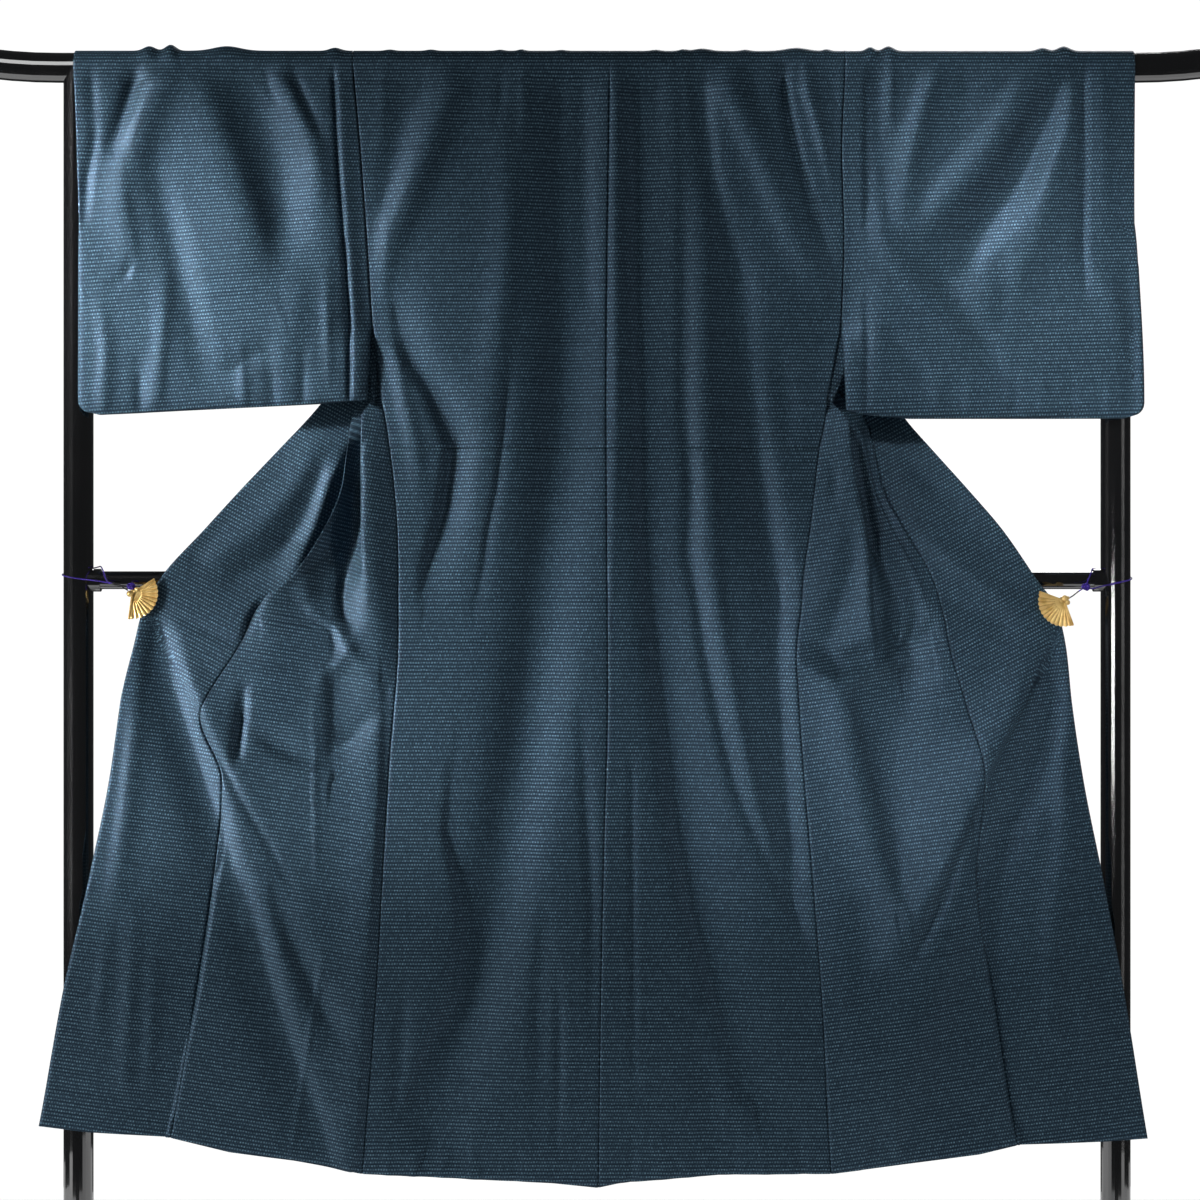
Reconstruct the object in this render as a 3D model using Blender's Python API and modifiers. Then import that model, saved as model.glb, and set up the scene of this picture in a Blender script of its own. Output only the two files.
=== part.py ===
"""A man's kimono hung over the top rod of a kimono rack, its fronts spread wide by two fan clips.

Metres, +Z up. The back of the garment faces -Y, the rack stands on z = 0 and is centred on x = 0.
The cloth is a set of thin walls lofted through level sections. Each front has two short tables, one
for where its lines run across the rack and one for how deep they lie, a row for each section.
"""

import math
from typing import NamedTuple

import bmesh
import bpy
from mathutils import Vector

# Cloth
WALL = 0.002
SEAM = 0.0008
ARMHOLE_GAP = 0.0007
SLEEVE_ROUND = 0.012
HEM_ROW = 0.240
HEM_BLEND = 0.62
ARMHOLE_BOTTOM = 1.346
SIDE_SEAM_TOP = 1.219
ROD_FADE_TOP = 1.660

# How far from a seam or an edge each form takes to reach its full depth
BACK_EDGE_BLEND = 0.085
SLEEVE_EDGE_BLEND = 0.055
POST_BLEND = 0.060
POST_CLEAR = 0.007
EDGE_FADE = 0.030
ROD_FADE = 0.050
FOLDS_TOP = 1.000
FOLDS_FADE = 0.060

# Collar
COLLAR_WIDTH = 0.055
COLLAR_END = 1.050
COLLAR_BEHIND = 0.0038
COLLAR_FREE_BEHIND = 0.0053
COLLAR_LIFT = 0.0005
COLLAR_ACROSS = 7
COLLAR_TURN_ROWS = 5
COLLAR_NECK_ROWS = 6
CORNER_REACH = 0.048
CORNER_BEHIND = 0.0010

# Rack
ROD_RADIUS = 0.0195
ROD_HEIGHT = 1.677
ROD_REACH = 0.830
ROD_RISE = 0.010
ROD_STRAIGHT = 0.708
END_POINTS = 4
POST_X = 0.682
POST_RADIUS = 0.0195
RAIL_RADIUS = 0.01175
RAIL_HEIGHT = 1.003
RAIL_COLLAR_RADIUS = 0.0150
RAIL_COLLAR_LENGTH = 0.010
RAIL_COLLAR_INTO_POST = 0.008
FOOT_LENGTH = 0.400
FOOT_WIDTH = 0.050
FOOT_HEIGHT = 0.032
FOOT_CORNER = 0.021
FOOT_RIM = 0.006
FIT = 0.0003
ROUND_SIDES = 28
CUTTER_LENGTH = 0.120
SHARP_ANGLE = math.radians(38)

# Where the cloth passes over the rod
OVER_RADIUS = 0.0216
OVER_STEPS = 6
QUARTER = math.pi * OVER_RADIUS / 2

# Neck opening and centre back
NECK_LEFT = -0.068
NECK_RIGHT = 0.102

# Clips and cords
CLIP_RADIUS = 0.034
CLIP_PLEATS = 12
CLIP_SHEET = 0.0012
CLIP_PLEAT_DEPTH = 0.0011
CLIP_PIVOT = 0.0045
CLIP_REACHES = (0.0025, 0.012, 0.023, CLIP_RADIUS)
CLIP_SCALLOP = 0.0012
CLIP_PLAY = 0.0006
JAW_LENGTH = 0.031
JAW_WIDTH = 0.011
CLOTH_AT_CLIP = -0.0268
CORD_RADIUS = 0.0009
CORD_SPACING = 0.0054
CORD_OFF_POST = 0.0006
CORD_TURN = (-100, 135)
CORD_TURN_POINTS = 8
KNOT_RADIUS = 0.0032


class Section(NamedTuple):
    """One level section of a front: where its lines run at this height."""

    height: float
    side: float
    roll: float
    hollow: float
    ridge: float
    seam: float
    edge: float


class Fold(NamedTuple):
    """A soft ridge, or a trough where rise is negative, along a line of (x, z) places."""

    line: tuple
    width: float
    rise: float


# Left front: places across, from the side seam to the free edge
LEFT_ACROSS = (
    Section(1.663, -0.319, -0.290, -0.218, -0.140, -0.070, -0.070),
    Section(1.565, -0.310, -0.278, -0.195, -0.111, -0.127, -0.127),
    Section(1.454, -0.302, -0.278, -0.199, -0.129, -0.192, -0.192),
    Section(1.346, -0.295, -0.286, -0.205, -0.156, -0.234, -0.269),
    Section(1.291, -0.288, -0.282, -0.190, -0.218, -0.264, -0.316),
    Section(1.252, -0.284, -0.281, -0.209, -0.277, -0.286, -0.352),
    Section(1.219, -0.278, -0.305, -0.225, -0.319, -0.294, -0.379),
    Section(1.173, -0.271, -0.308, -0.254, -0.327, -0.307, -0.421),
    Section(1.121, -0.265, -0.307, -0.273, -0.335, -0.319, -0.469),
    Section(1.069, -0.261, -0.305, -0.292, -0.356, -0.339, -0.515),
    Section(1.010, -0.260, -0.299, -0.329, -0.393, -0.382, -0.567),
    Section(0.969, -0.260, -0.294, -0.342, -0.434, -0.443, -0.592),
    Section(0.918, -0.260, -0.291, -0.349, -0.420, -0.467, -0.605),
    Section(0.847, -0.264, -0.302, -0.365, -0.438, -0.511, -0.622),
    Section(0.742, -0.273, -0.323, -0.388, -0.454, -0.490, -0.637),
    Section(0.611, -0.281, -0.333, -0.388, -0.440, -0.503, -0.664),
    Section(0.454, -0.290, -0.349, -0.408, -0.464, -0.525, -0.698),
    Section(0.240, -0.307, -0.369, -0.427, -0.490, -0.557, -0.729),
)

# Left front: depths, where less is nearer the viewer of the back
LEFT_DEPTH = (
    Section(1.663, 0.0213, 0.0213, 0.0213, 0.0213, 0.0213, 0.0213),
    Section(1.565, 0.0190, 0.0210, 0.0215, 0.0220, 0.0310, 0.0310),
    Section(1.454, 0.0090, 0.0160, 0.0200, 0.0240, 0.0330, 0.0330),
    Section(1.346, -0.0100, -0.0060, 0.0080, 0.0200, 0.0300, 0.0310),
    Section(1.291, -0.0135, -0.0100, 0.0080, 0.0200, 0.0260, 0.0280),
    Section(1.252, -0.0170, -0.0130, 0.0070, 0.0110, 0.0200, 0.0220),
    Section(1.219, -0.0230, -0.0260, 0.0060, -0.0020, 0.0140, 0.0150),
    Section(1.173, -0.0260, -0.0340, 0.0040, -0.0120, 0.0060, 0.0050),
    Section(1.121, -0.0280, -0.0390, 0.0000, -0.0200, 0.0000, -0.0040),
    Section(1.069, -0.0300, -0.0420, -0.0090, -0.0310, -0.0090, -0.0140),
    Section(1.010, -0.0300, -0.0420, -0.0210, -0.0390, -0.0200, -0.0260),
    Section(0.969, -0.0300, -0.0400, -0.0250, -0.0370, -0.0280, -0.0270),
    Section(0.918, -0.0290, -0.0360, -0.0290, -0.0340, -0.0310, -0.0275),
    Section(0.847, -0.0280, -0.0310, -0.0290, -0.0330, -0.0320, -0.0280),
    Section(0.742, -0.0270, -0.0290, -0.0290, -0.0300, -0.0310, -0.0285),
    Section(0.611, -0.0260, -0.0280, -0.0290, -0.0290, -0.0290, -0.0290),
    Section(0.454, -0.0260, -0.0270, -0.0280, -0.0280, -0.0280, -0.0280),
    Section(0.240, -0.0250, -0.0270, -0.0280, -0.0280, -0.0280, -0.0280),
)

# Right front: places across
RIGHT_ACROSS = (
    Section(1.663, 0.324, 0.294, 0.220, 0.146, 0.104, 0.104),
    Section(1.565, 0.320, 0.291, 0.213, 0.140, 0.154, 0.154),
    Section(1.454, 0.323, 0.299, 0.223, 0.159, 0.221, 0.221),
    Section(1.346, 0.320, 0.312, 0.233, 0.184, 0.265, 0.301),
    Section(1.291, 0.312, 0.306, 0.220, 0.239, 0.294, 0.346),
    Section(1.245, 0.302, 0.298, 0.239, 0.299, 0.325, 0.387),
    Section(1.212, 0.298, 0.326, 0.259, 0.332, 0.356, 0.410),
    Section(1.173, 0.290, 0.332, 0.281, 0.346, 0.366, 0.443),
    Section(1.121, 0.284, 0.340, 0.311, 0.361, 0.378, 0.488),
    Section(1.069, 0.278, 0.348, 0.341, 0.383, 0.404, 0.531),
    Section(1.003, 0.269, 0.352, 0.383, 0.416, 0.440, 0.575),
    Section(0.969, 0.267, 0.354, 0.400, 0.427, 0.450, 0.599),
    Section(0.912, 0.261, 0.354, 0.400, 0.435, 0.461, 0.613),
    Section(0.844, 0.264, 0.331, 0.396, 0.442, 0.481, 0.620),
    Section(0.742, 0.271, 0.331, 0.389, 0.448, 0.505, 0.635),
    Section(0.611, 0.282, 0.337, 0.389, 0.442, 0.495, 0.661),
    Section(0.454, 0.294, 0.350, 0.403, 0.461, 0.519, 0.689),
    Section(0.240, 0.306, 0.370, 0.429, 0.488, 0.549, 0.719),
)

# Right front: depths
RIGHT_DEPTH = (
    Section(1.663, 0.0213, 0.0213, 0.0213, 0.0213, 0.0213, 0.0213),
    Section(1.565, 0.0190, 0.0210, 0.0215, 0.0220, 0.0310, 0.0310),
    Section(1.454, 0.0090, 0.0160, 0.0200, 0.0240, 0.0330, 0.0330),
    Section(1.346, -0.0100, -0.0060, 0.0080, 0.0200, 0.0300, 0.0310),
    Section(1.291, -0.0135, -0.0100, 0.0080, 0.0200, 0.0260, 0.0280),
    Section(1.245, -0.0170, -0.0130, 0.0070, 0.0100, 0.0190, 0.0210),
    Section(1.212, -0.0230, -0.0270, 0.0060, 0.0000, 0.0120, 0.0140),
    Section(1.173, -0.0260, -0.0340, 0.0040, -0.0060, 0.0060, 0.0050),
    Section(1.121, -0.0280, -0.0390, 0.0000, -0.0120, -0.0040, -0.0060),
    Section(1.069, -0.0300, -0.0430, -0.0090, -0.0190, -0.0140, -0.0160),
    Section(1.003, -0.0300, -0.0430, -0.0190, -0.0260, -0.0240, -0.0260),
    Section(0.969, -0.0300, -0.0410, -0.0210, -0.0280, -0.0280, -0.0270),
    Section(0.912, -0.0290, -0.0380, -0.0240, -0.0290, -0.0310, -0.0275),
    Section(0.844, -0.0280, -0.0320, -0.0270, -0.0310, -0.0320, -0.0280),
    Section(0.742, -0.0270, -0.0290, -0.0280, -0.0300, -0.0310, -0.0285),
    Section(0.611, -0.0260, -0.0280, -0.0290, -0.0290, -0.0290, -0.0290),
    Section(0.454, -0.0260, -0.0270, -0.0280, -0.0280, -0.0280, -0.0280),
    Section(0.240, -0.0250, -0.0270, -0.0280, -0.0280, -0.0280, -0.0280),
)

# The hem, as (x, z) from the left front's corner to the right front's
HEM_LINE = (
    (-0.729, 0.290), (-0.664, 0.282), (-0.558, 0.275), (-0.480, 0.256), (-0.397, 0.245),
    (-0.307, 0.227), (-0.058, 0.215), (0.001, 0.209), (0.029, 0.215), (0.159, 0.226),
    (0.306, 0.227), (0.399, 0.240), (0.499, 0.253), (0.549, 0.265), (0.665, 0.270), (0.719, 0.274),
)

# The centre back seam, and how deep the middle of the back hangs, as (z, x) and (z, y)
CENTRE_SEAM = ((1.698, 0.017), (1.239, 0.012), (0.847, 0.014), (0.650, 0.009), (0.417, 0.004), (0.200, 0.001))
BACK_DEPTH = (
    (1.677, -0.0213), (1.500, -0.0230), (1.300, -0.0260), (1.100, -0.0290),
    (1.000, -0.0300), (0.800, -0.0290), (0.500, -0.0270), (0.200, -0.0250),
)

# The edge of the back above the side seam, as (z, y), where the sleeve is sewn on
BACK_EDGE_DEPTH = ((1.677, -0.0213), (1.565, -0.0215), (1.454, -0.0205), (1.346, -0.0145), (1.291, -0.0172),
                   (1.252, -0.0203), (1.219, -0.0230))

BACK_FOLDS = (
    Fold(((0.037, 1.650), (0.056, 1.239), (0.058, 0.847), (0.046, 0.324)), 0.018, -0.007),
    Fold(((-0.175, 1.650), (-0.280, 1.430)), 0.024, 0.006),
    Fold(((-0.073, 1.650), (-0.074, 1.337), (-0.095, 1.135), (-0.141, 0.969), (-0.139, 0.847)),
         0.018, -0.006),
    Fold(((-0.261, 1.320), (-0.214, 1.189)), 0.016, 0.004),
    Fold(((-0.188, 1.135), (-0.229, 1.019)), 0.016, -0.004),
    Fold(((0.145, 1.650), (0.217, 1.544), (0.281, 1.411), (0.305, 1.375)), 0.020, 0.007),
    Fold(((0.238, 1.650), (0.262, 1.530)), 0.016, -0.006),
    Fold(((0.131, 0.977), (0.171, 0.810), (0.204, 0.677), (0.238, 0.577)), 0.022, 0.007),
    Fold(((0.200, 0.977), (0.236, 0.810), (0.268, 0.550)), 0.018, -0.007),
)
FRONT_FOLDS = (
    Fold(((-0.560, 0.920), (-0.497, 0.767), (-0.437, 0.661), (-0.370, 0.511)), 0.020, 0.008),
    Fold(((-0.585, 0.920), (-0.567, 0.844), (-0.514, 0.694)), 0.018, -0.007),
    Fold(((0.565, 0.905), (0.506, 0.743), (0.444, 0.667), (0.409, 0.528)), 0.020, 0.008),
    Fold(((0.588, 0.920), (0.542, 0.760), (0.512, 0.677)), 0.018, -0.007),
    Fold(((0.256, 0.895), (0.360, 0.880)), 0.014, 0.005),
)


class SleeveShape(NamedTuple):
    """One sleeve: its edges as (z, x), its bottom as (x, z), its gathers as (x, width, rise)."""

    inner_low: tuple
    outer_near: tuple
    outer_far: tuple
    bottom: tuple
    notch: float
    gathers: tuple


SLEEVE_LEFT = SleeveShape(
    inner_low=((1.346, -0.295), (1.236, -0.300)),
    outer_near=((1.700, -0.686), (1.565, -0.680), (1.454, -0.677), (1.200, -0.677)),
    outer_far=((1.700, -0.6570), (1.500, -0.6570), (1.480, -0.6660), (1.454, -0.6770), (1.200, -0.6770)),
    bottom=((-0.677, 1.222), (-0.664, 1.219), (-0.514, 1.226), (-0.367, 1.233), (-0.300, 1.239)),
    notch=1.454,
    gathers=((-0.574, 0.016, 0.009), (-0.494, 0.024, 0.006), (-0.346, 0.012, 0.003)),
)
SLEEVE_RIGHT = SleeveShape(
    inner_low=((1.346, 0.320), (1.226, 0.325)),
    outer_near=((1.700, 0.704), (1.471, 0.702), (1.411, 0.707), (1.239, 0.714), (1.200, 0.714)),
    outer_far=((1.700, 0.6570), (1.510, 0.6570), (1.490, 0.6800), (1.471, 0.7020), (1.411, 0.7070),
               (1.239, 0.7140), (1.200, 0.7140)),
    bottom=((0.325, 1.226), (0.353, 1.219), (0.410, 1.214), (0.699, 1.214), (0.714, 1.218)),
    notch=1.471,
    gathers=((0.371, 0.018, 0.004), (0.599, 0.022, 0.003)),
)
SLEEVE_NEAR = ((1.660, -0.0213), (1.550, -0.0240), (1.450, -0.0270), (1.346, -0.0300), (1.200, -0.0320))
SLEEVE_FAR = ((1.660, 0.0213), (1.565, 0.0190), (1.454, 0.0090), (1.346, -0.0080), (1.290, -0.0165),
              (1.250, -0.0205), (1.200, -0.0215))
SLEEVE_FAR_OUTER = ((1.660, 0.0213), (1.600, 0.0100), (1.540, -0.0090), (1.505, -0.0225), (1.454, -0.0250),
                    (1.200, -0.0265))
SLEEVE_LOW_FAR = -0.0215
SLEEVE_LOW_BLEND = 0.05
FAR_TURN_START = 0.4

# The sleeve's places across, its rows above its bottom, and its other rows
SLEEVE_SHARES = [0, 0.010, 0.030] + [0.12 + 0.126 * k for k in range(7)] + [0.970, 0.990, 1]
SLEEVE_LIFTS = (0.0, 0.004, 0.012, 0.045)
SLEEVE_ROWS = (1.305, ARMHOLE_BOTTOM, 1.380, 1.420)
SLEEVE_OPEN_ROWS = (1.490, 1.530, 1.580, 1.625, 1.660)


class Clip(NamedTuple):
    """One clip: its pivot's place, and the angles in degrees that its fan opens between."""

    x: float
    z: float
    first: float
    last: float


CLIP_LEFT = Clip(-0.606, 0.986, 32, -97)
CLIP_RIGHT = Clip(0.609, 0.976, 160, 290)


def clear_scene():
    """Removes every object, so that the file holds this model alone."""
    for thing in list(bpy.data.objects):
        bpy.data.objects.remove(thing, do_unlink=True)


def collection(name):
    """Makes a collection under the scene."""
    group = bpy.data.collections.new(name)
    bpy.context.scene.collection.children.link(group)
    return group


def finish(name, colour, roughness, metallic=0.0):
    """A Principled material of one colour."""
    material = bpy.data.materials.new(name)
    material.use_nodes = True
    shader = material.node_tree.nodes["Principled BSDF"]
    shader.inputs["Base Color"].default_value = (*colour, 1.0)
    shader.inputs["Roughness"].default_value = roughness
    shader.inputs["Metallic"].default_value = metallic
    return material


def eased(table, at):
    """Reads a smooth line through (knot, value) rows, without overshoot."""
    rows = sorted(table)
    if at <= rows[0][0]:
        return rows[0][1]
    if at >= rows[-1][0]:
        return rows[-1][1]
    slopes = [(b[1] - a[1]) / (b[0] - a[0]) for a, b in zip(rows, rows[1:])]
    tangents = [slopes[0]]
    for before, after in zip(slopes, slopes[1:]):
        tangents.append(2 * before * after / (before + after) if before * after > 0 else 0.0)
    tangents.append(slopes[-1])
    i = next(k for k in range(len(rows) - 1) if rows[k + 1][0] >= at)
    span = rows[i + 1][0] - rows[i][0]
    t = (at - rows[i][0]) / span
    return (
        rows[i][1] * (1 + 2 * t) * (1 - t) ** 2
        + rows[i + 1][1] * t * t * (3 - 2 * t)
        + tangents[i] * span * t * (1 - t) ** 2
        - tangents[i + 1] * span * t * t * (1 - t)
    )


def straight(table, at):
    """Reads a line of straight stretches through (knot, value) rows."""
    rows = sorted(table)
    if at <= rows[0][0]:
        return rows[0][1]
    for (a, first), (b, second) in zip(rows, rows[1:]):
        if at <= b:
            return first + (second - first) * (at - a) / (b - a)
    return rows[-1][1]


def through(values, at):
    """Reads a round curve through values that are one step apart."""
    i = min(int(at), len(values) - 2)
    t = at - i
    a, b = values[i], values[i + 1]
    before = values[i - 1] if i else 2 * a - b
    after = values[i + 2] if i + 2 < len(values) else 2 * b - a
    bend = 2 * before - 5 * a + 4 * b - after
    twist = 3 * (a - b) + after - before
    return a + t / 2 * (b - before + t * (bend + t * twist))


def fade(value):
    """Goes smoothly from 0 to 1."""
    t = max(0.0, min(1.0, value))
    return t * t * (3 - 2 * t)


def fold_depth(folds, x, z):
    """How far the folds carry the cloth away from the viewer at a place."""
    depth = 0.0
    for fold in folds:
        nearest = 1e9
        for (ax, az), (bx, bz) in zip(fold.line, fold.line[1:]):
            run = (bx - ax) ** 2 + (bz - az) ** 2
            t = max(0.0, min(1.0, ((x - ax) * (bx - ax) + (z - az) * (bz - az)) / run))
            nearest = min(nearest, math.hypot(x - ax - t * (bx - ax), z - az - t * (bz - az)))
        depth -= fold.rise * math.exp(-((nearest / fold.width) ** 2))
    return depth


def over_rod(x, along, away=0.0):
    """A place on the cloth over the rod, by its distance past the top, towards the far side."""
    radius = OVER_RADIUS + away
    if abs(along) <= QUARTER:
        turn = along / OVER_RADIUS
        return Vector((x, radius * math.sin(turn), ROD_HEIGHT + radius * math.cos(turn)))
    side = math.copysign(radius, along)
    return Vector((x, side, ROD_HEIGHT - (abs(along) - QUARTER)))


def column(sections, name):
    """One named column of a front's table, as (height, value) rows."""
    return [(row.height, getattr(row, name)) for row in sections]


LINES = ("side", "roll", "hollow", "ridge", "seam", "edge")
FRONT_SEAM, FREE_EDGE = 4, 5
STEP_NUDGE = 0.02
FINE_STEPS = 160
TURN_WEIGHT = 0.04
TINY = 1e-6


class Front:
    """The surface of one front, read at a height and a step across its lines."""

    def __init__(self, across, depth, hand):
        """Keeps the tables, and the hand: -1 left, 1 right."""
        self.across = [column(across, name) for name in LINES]
        self.depth = [column(depth, name) for name in LINES]
        self.hand = hand
        self.levels = {}

    def section(self, height):
        """The lines' places and depths at a height."""
        if height not in self.levels:
            self.levels[height] = (
                [eased(line, height) for line in self.across],
                [eased(line, height) for line in self.depth],
            )
        return self.levels[height]

    def place(self, step, height, past=0.0):
        """A point of the front: step 0 is the side seam, 4 the front seam and 5 the free edge.

        It is moved past its place along the section by the distance given.
        """
        across, depth = self.section(height)
        x, y = through(across, step), through(depth, step)
        if past:
            low, high = max(0, step - STEP_NUDGE), min(FREE_EDGE, step + STEP_NUDGE)
            run = Vector((through(across, high) - through(across, low),
                          through(depth, high) - through(depth, low))).normalized()
            x, y = x + past * run.x, y + past * run.y
        shown = fade((FOLDS_TOP - height) / FOLDS_FADE)
        if step > FRONT_SEAM:
            shown *= fade((abs(across[FREE_EDGE]) - abs(x)) / EDGE_FADE)
        y += fold_depth(FRONT_FOLDS, x, height) * shown
        return Vector((x, y, hem_height(x, height)))

    def spread(self, height, count):
        """Steps from the side seam to the front seam, closer together where the cloth turns."""
        across, depth = self.section(height)
        fine = [FRONT_SEAM * k / FINE_STEPS for k in range(FINE_STEPS + 1)]
        places = [Vector((through(across, step), through(depth, step))) for step in fine]
        runs = [b - a for a, b in zip(places, places[1:])]
        weights = [run.length for run in runs]
        for k in range(1, len(runs)):
            if min(runs[k - 1].length, runs[k].length) > TINY:
                turn = TURN_WEIGHT * runs[k - 1].angle(runs[k])
                weights[k - 1] += turn / 2
                weights[k] += turn / 2
        passed = [0.0]
        for weight in weights:
            passed.append(passed[-1] + weight)
        last = FRONT_SEAM - SEAM_MARGIN
        inner = [straight(list(zip(passed, fine)), passed[-1] * k / (count - 2)) for k in range(count - 2)]
        return [step * last / FRONT_SEAM for step in inner] + [last, FRONT_SEAM]

    def strip_depth(self, x, height):
        """The depth of the strip between the front seam and the free edge."""
        across, depth = self.section(height)
        run = across[FREE_EDGE] - across[FRONT_SEAM]
        t = max(0.0, min(1.0, (x - across[FRONT_SEAM]) / run)) if abs(run) > TINY else 1.0
        return depth[FRONT_SEAM] + (depth[FREE_EDGE] - depth[FRONT_SEAM]) * t


def hem_height(x, height):
    """Bends the lowest rows to the hem's own line."""
    share = max(0.0, (HEM_BLEND - height) / (HEM_BLEND - HEM_ROW))
    return height + (straight(HEM_LINE, x) - HEM_ROW) * share * share


LEFT = Front(LEFT_ACROSS, LEFT_DEPTH, -1)
RIGHT = Front(RIGHT_ACROSS, RIGHT_DEPTH, 1)

BACK_ROWS = [HEM_ROW + 0.105 * k for k in range(7)] + [0.955 + 0.072 * k for k in range(10)] + [1.650]

# The fronts' rows, and how many places each has across: more where the cloth is folded over itself
FRONT_ROWS = (
    [(height, 11) for height in (1.655, 1.620, 1.580, 1.540, 1.500, 1.450, 1.400)]
    + [(1.360 - 0.026 * k, 18) for k in range(16)]
    + [(height, 10) for height in (0.940, 0.890, 0.820, 0.730, 0.630, 0.520, 0.400, 0.310, HEM_ROW)]
)
SEAM_MARGIN = 0.04
STRIP_TOP = 1.400
STRIP_STEPS = (FRONT_SEAM, FRONT_SEAM + SEAM_MARGIN, 4.3, 4.55, 4.8, 5)
NECK_COLUMNS = 3
COLLAR_ROWS = [COLLAR_END + 0.056 * k for k in range(11)] + [1.650]
EDGE_PROBE = 0.01


def back_place(front, share, height):
    """A point of the back: share 0 is the side seam, 1 the centre seam."""
    side = eased(front.across[0], height) - SEAM / 2 * front.hand
    centre = eased(CENTRE_SEAM, height) + SEAM / 2 * front.hand
    x = side + (centre - side) * share
    edge_depth = eased(BACK_EDGE_DEPTH, height) if height > SIDE_SEAM_TOP else eased(front.depth[0], height)
    middle = eased(BACK_DEPTH, height)
    towards_side = 1 - fade(abs(x - side) / BACK_EDGE_BLEND)
    shown = fade(abs(x - side) / EDGE_FADE) * fade((ROD_FADE_TOP - height) / ROD_FADE)
    y = middle + (edge_depth - middle) * towards_side + fold_depth(BACK_FOLDS, x, height) * shown
    return Vector((x, y, hem_height(x, height)))


def rod_gather(x, gathers):
    """How far the gathers lift the cloth off the rod."""
    return sum(rise * math.exp(-(((x - at) / width) ** 2)) for at, width, rise in gathers)


def grid_faces(mesh, rows):
    """Joins rows of vertices, which may have None where the cloth is cut away."""
    for low, high in zip(rows, rows[1:]):
        for i in range(len(low) - 1):
            corners = [low[i], low[i + 1], high[i + 1], high[i]]
            if None in corners:
                continue
            unique = list(dict.fromkeys(corners))
            if len(unique) > 2 and mesh.faces.get(unique) is None:
                mesh.faces.new(unique)


def uneven_faces(mesh, low, high):
    """Joins two rows that have different numbers of vertices."""
    i = k = 0
    while i < len(low) - 1 or k < len(high) - 1:
        next_low, next_high = (i + 1) / (len(low) - 1), (k + 1) / (len(high) - 1)
        if k == len(high) - 1 or (i < len(low) - 1 and next_low <= next_high):
            mesh.faces.new((low[i], low[i + 1], high[k]))
            i += 1
        else:
            mesh.faces.new((low[i], high[k + 1], high[k]))
            k += 1


def cloth(name, mesh, group, material, thickness=WALL, even=False):
    """Turns an open surface into a wall of cloth."""
    bmesh.ops.recalc_face_normals(mesh, faces=mesh.faces)
    thing = add_mesh(name, mesh, group)
    thing.data.materials.append(material)
    thing.data.shade_smooth()
    wall = thing.modifiers.new("Wall", "SOLIDIFY")
    wall.thickness = thickness
    wall.offset = 0.0
    wall.use_even_offset = even
    wall.thickness_clamp = 1.0 if even else 0.0
    return thing


def build_body(name, front, gathers, group, material):
    """One half of the body: a single length of cloth, hem to hem, over the rod."""
    mesh = bmesh.new()
    top = front.section(FRONT_ROWS[0][0])[0]
    side_x, neck_x = top[0], NECK_LEFT if front.hand < 0 else NECK_RIGHT
    shoulder = [through(top, step) for step in front.spread(*FRONT_ROWS[0])]
    centre_x = eased(CENTRE_SEAM, ROD_HEIGHT)
    neck_share = (neck_x - side_x) / (centre_x - side_x)
    shares = [neck_share * (x - side_x) / (shoulder[-1] - side_x) for x in shoulder]
    shares += [neck_share + (1 - neck_share) * (k + 1) / NECK_COLUMNS for k in range(NECK_COLUMNS)]
    rows = []
    for height in BACK_ROWS:
        rows.append([mesh.verts.new(back_place(front, share, height)) for share in shares])
    for k in range(OVER_STEPS + 1):
        along = -QUARTER + 2 * QUARTER * k / OVER_STEPS
        lift = math.sin(math.pi * k / OVER_STEPS)
        row = []
        for share in shares:
            if share > neck_share + TINY and k > OVER_STEPS // 2:
                row.append(None)
                continue
            x = back_place(front, share, ROD_HEIGHT).x
            row.append(mesh.verts.new(over_rod(x, along, lift * rod_gather(x, gathers))))
        rows.append(row)
    grid_faces(mesh, rows)
    last = [vertex for vertex in rows[-1] if vertex]
    for height, count in FRONT_ROWS:
        row = []
        for step in front.spread(height, count):
            point = front.place(step, height, -SEAM / 2 if step == FRONT_SEAM else 0.0)
            if step == 0:
                point.x += SEAM / 2 * (front.hand if height < SIDE_SEAM_TOP else -front.hand)
            row.append(mesh.verts.new(point))
        if len(row) == len(last):
            grid_faces(mesh, [last, row])
        else:
            uneven_faces(mesh, last, row)
        last = row
    return cloth(name, mesh, group, material)


def build_okumi(name, front, group, material):
    """The strip sewn along the front seam, from its point under the collar to the hem."""
    mesh = bmesh.new()
    rows = []
    for height in [height for height, _ in FRONT_ROWS if height < STRIP_TOP]:
        row = []
        for step in STRIP_STEPS:
            row.append(mesh.verts.new(front.place(step, height, SEAM / 2 if step == FRONT_SEAM else 0.0)))
        rows.append(row)
    grid_faces(mesh, rows)
    return cloth(name, mesh, group, material)


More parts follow.
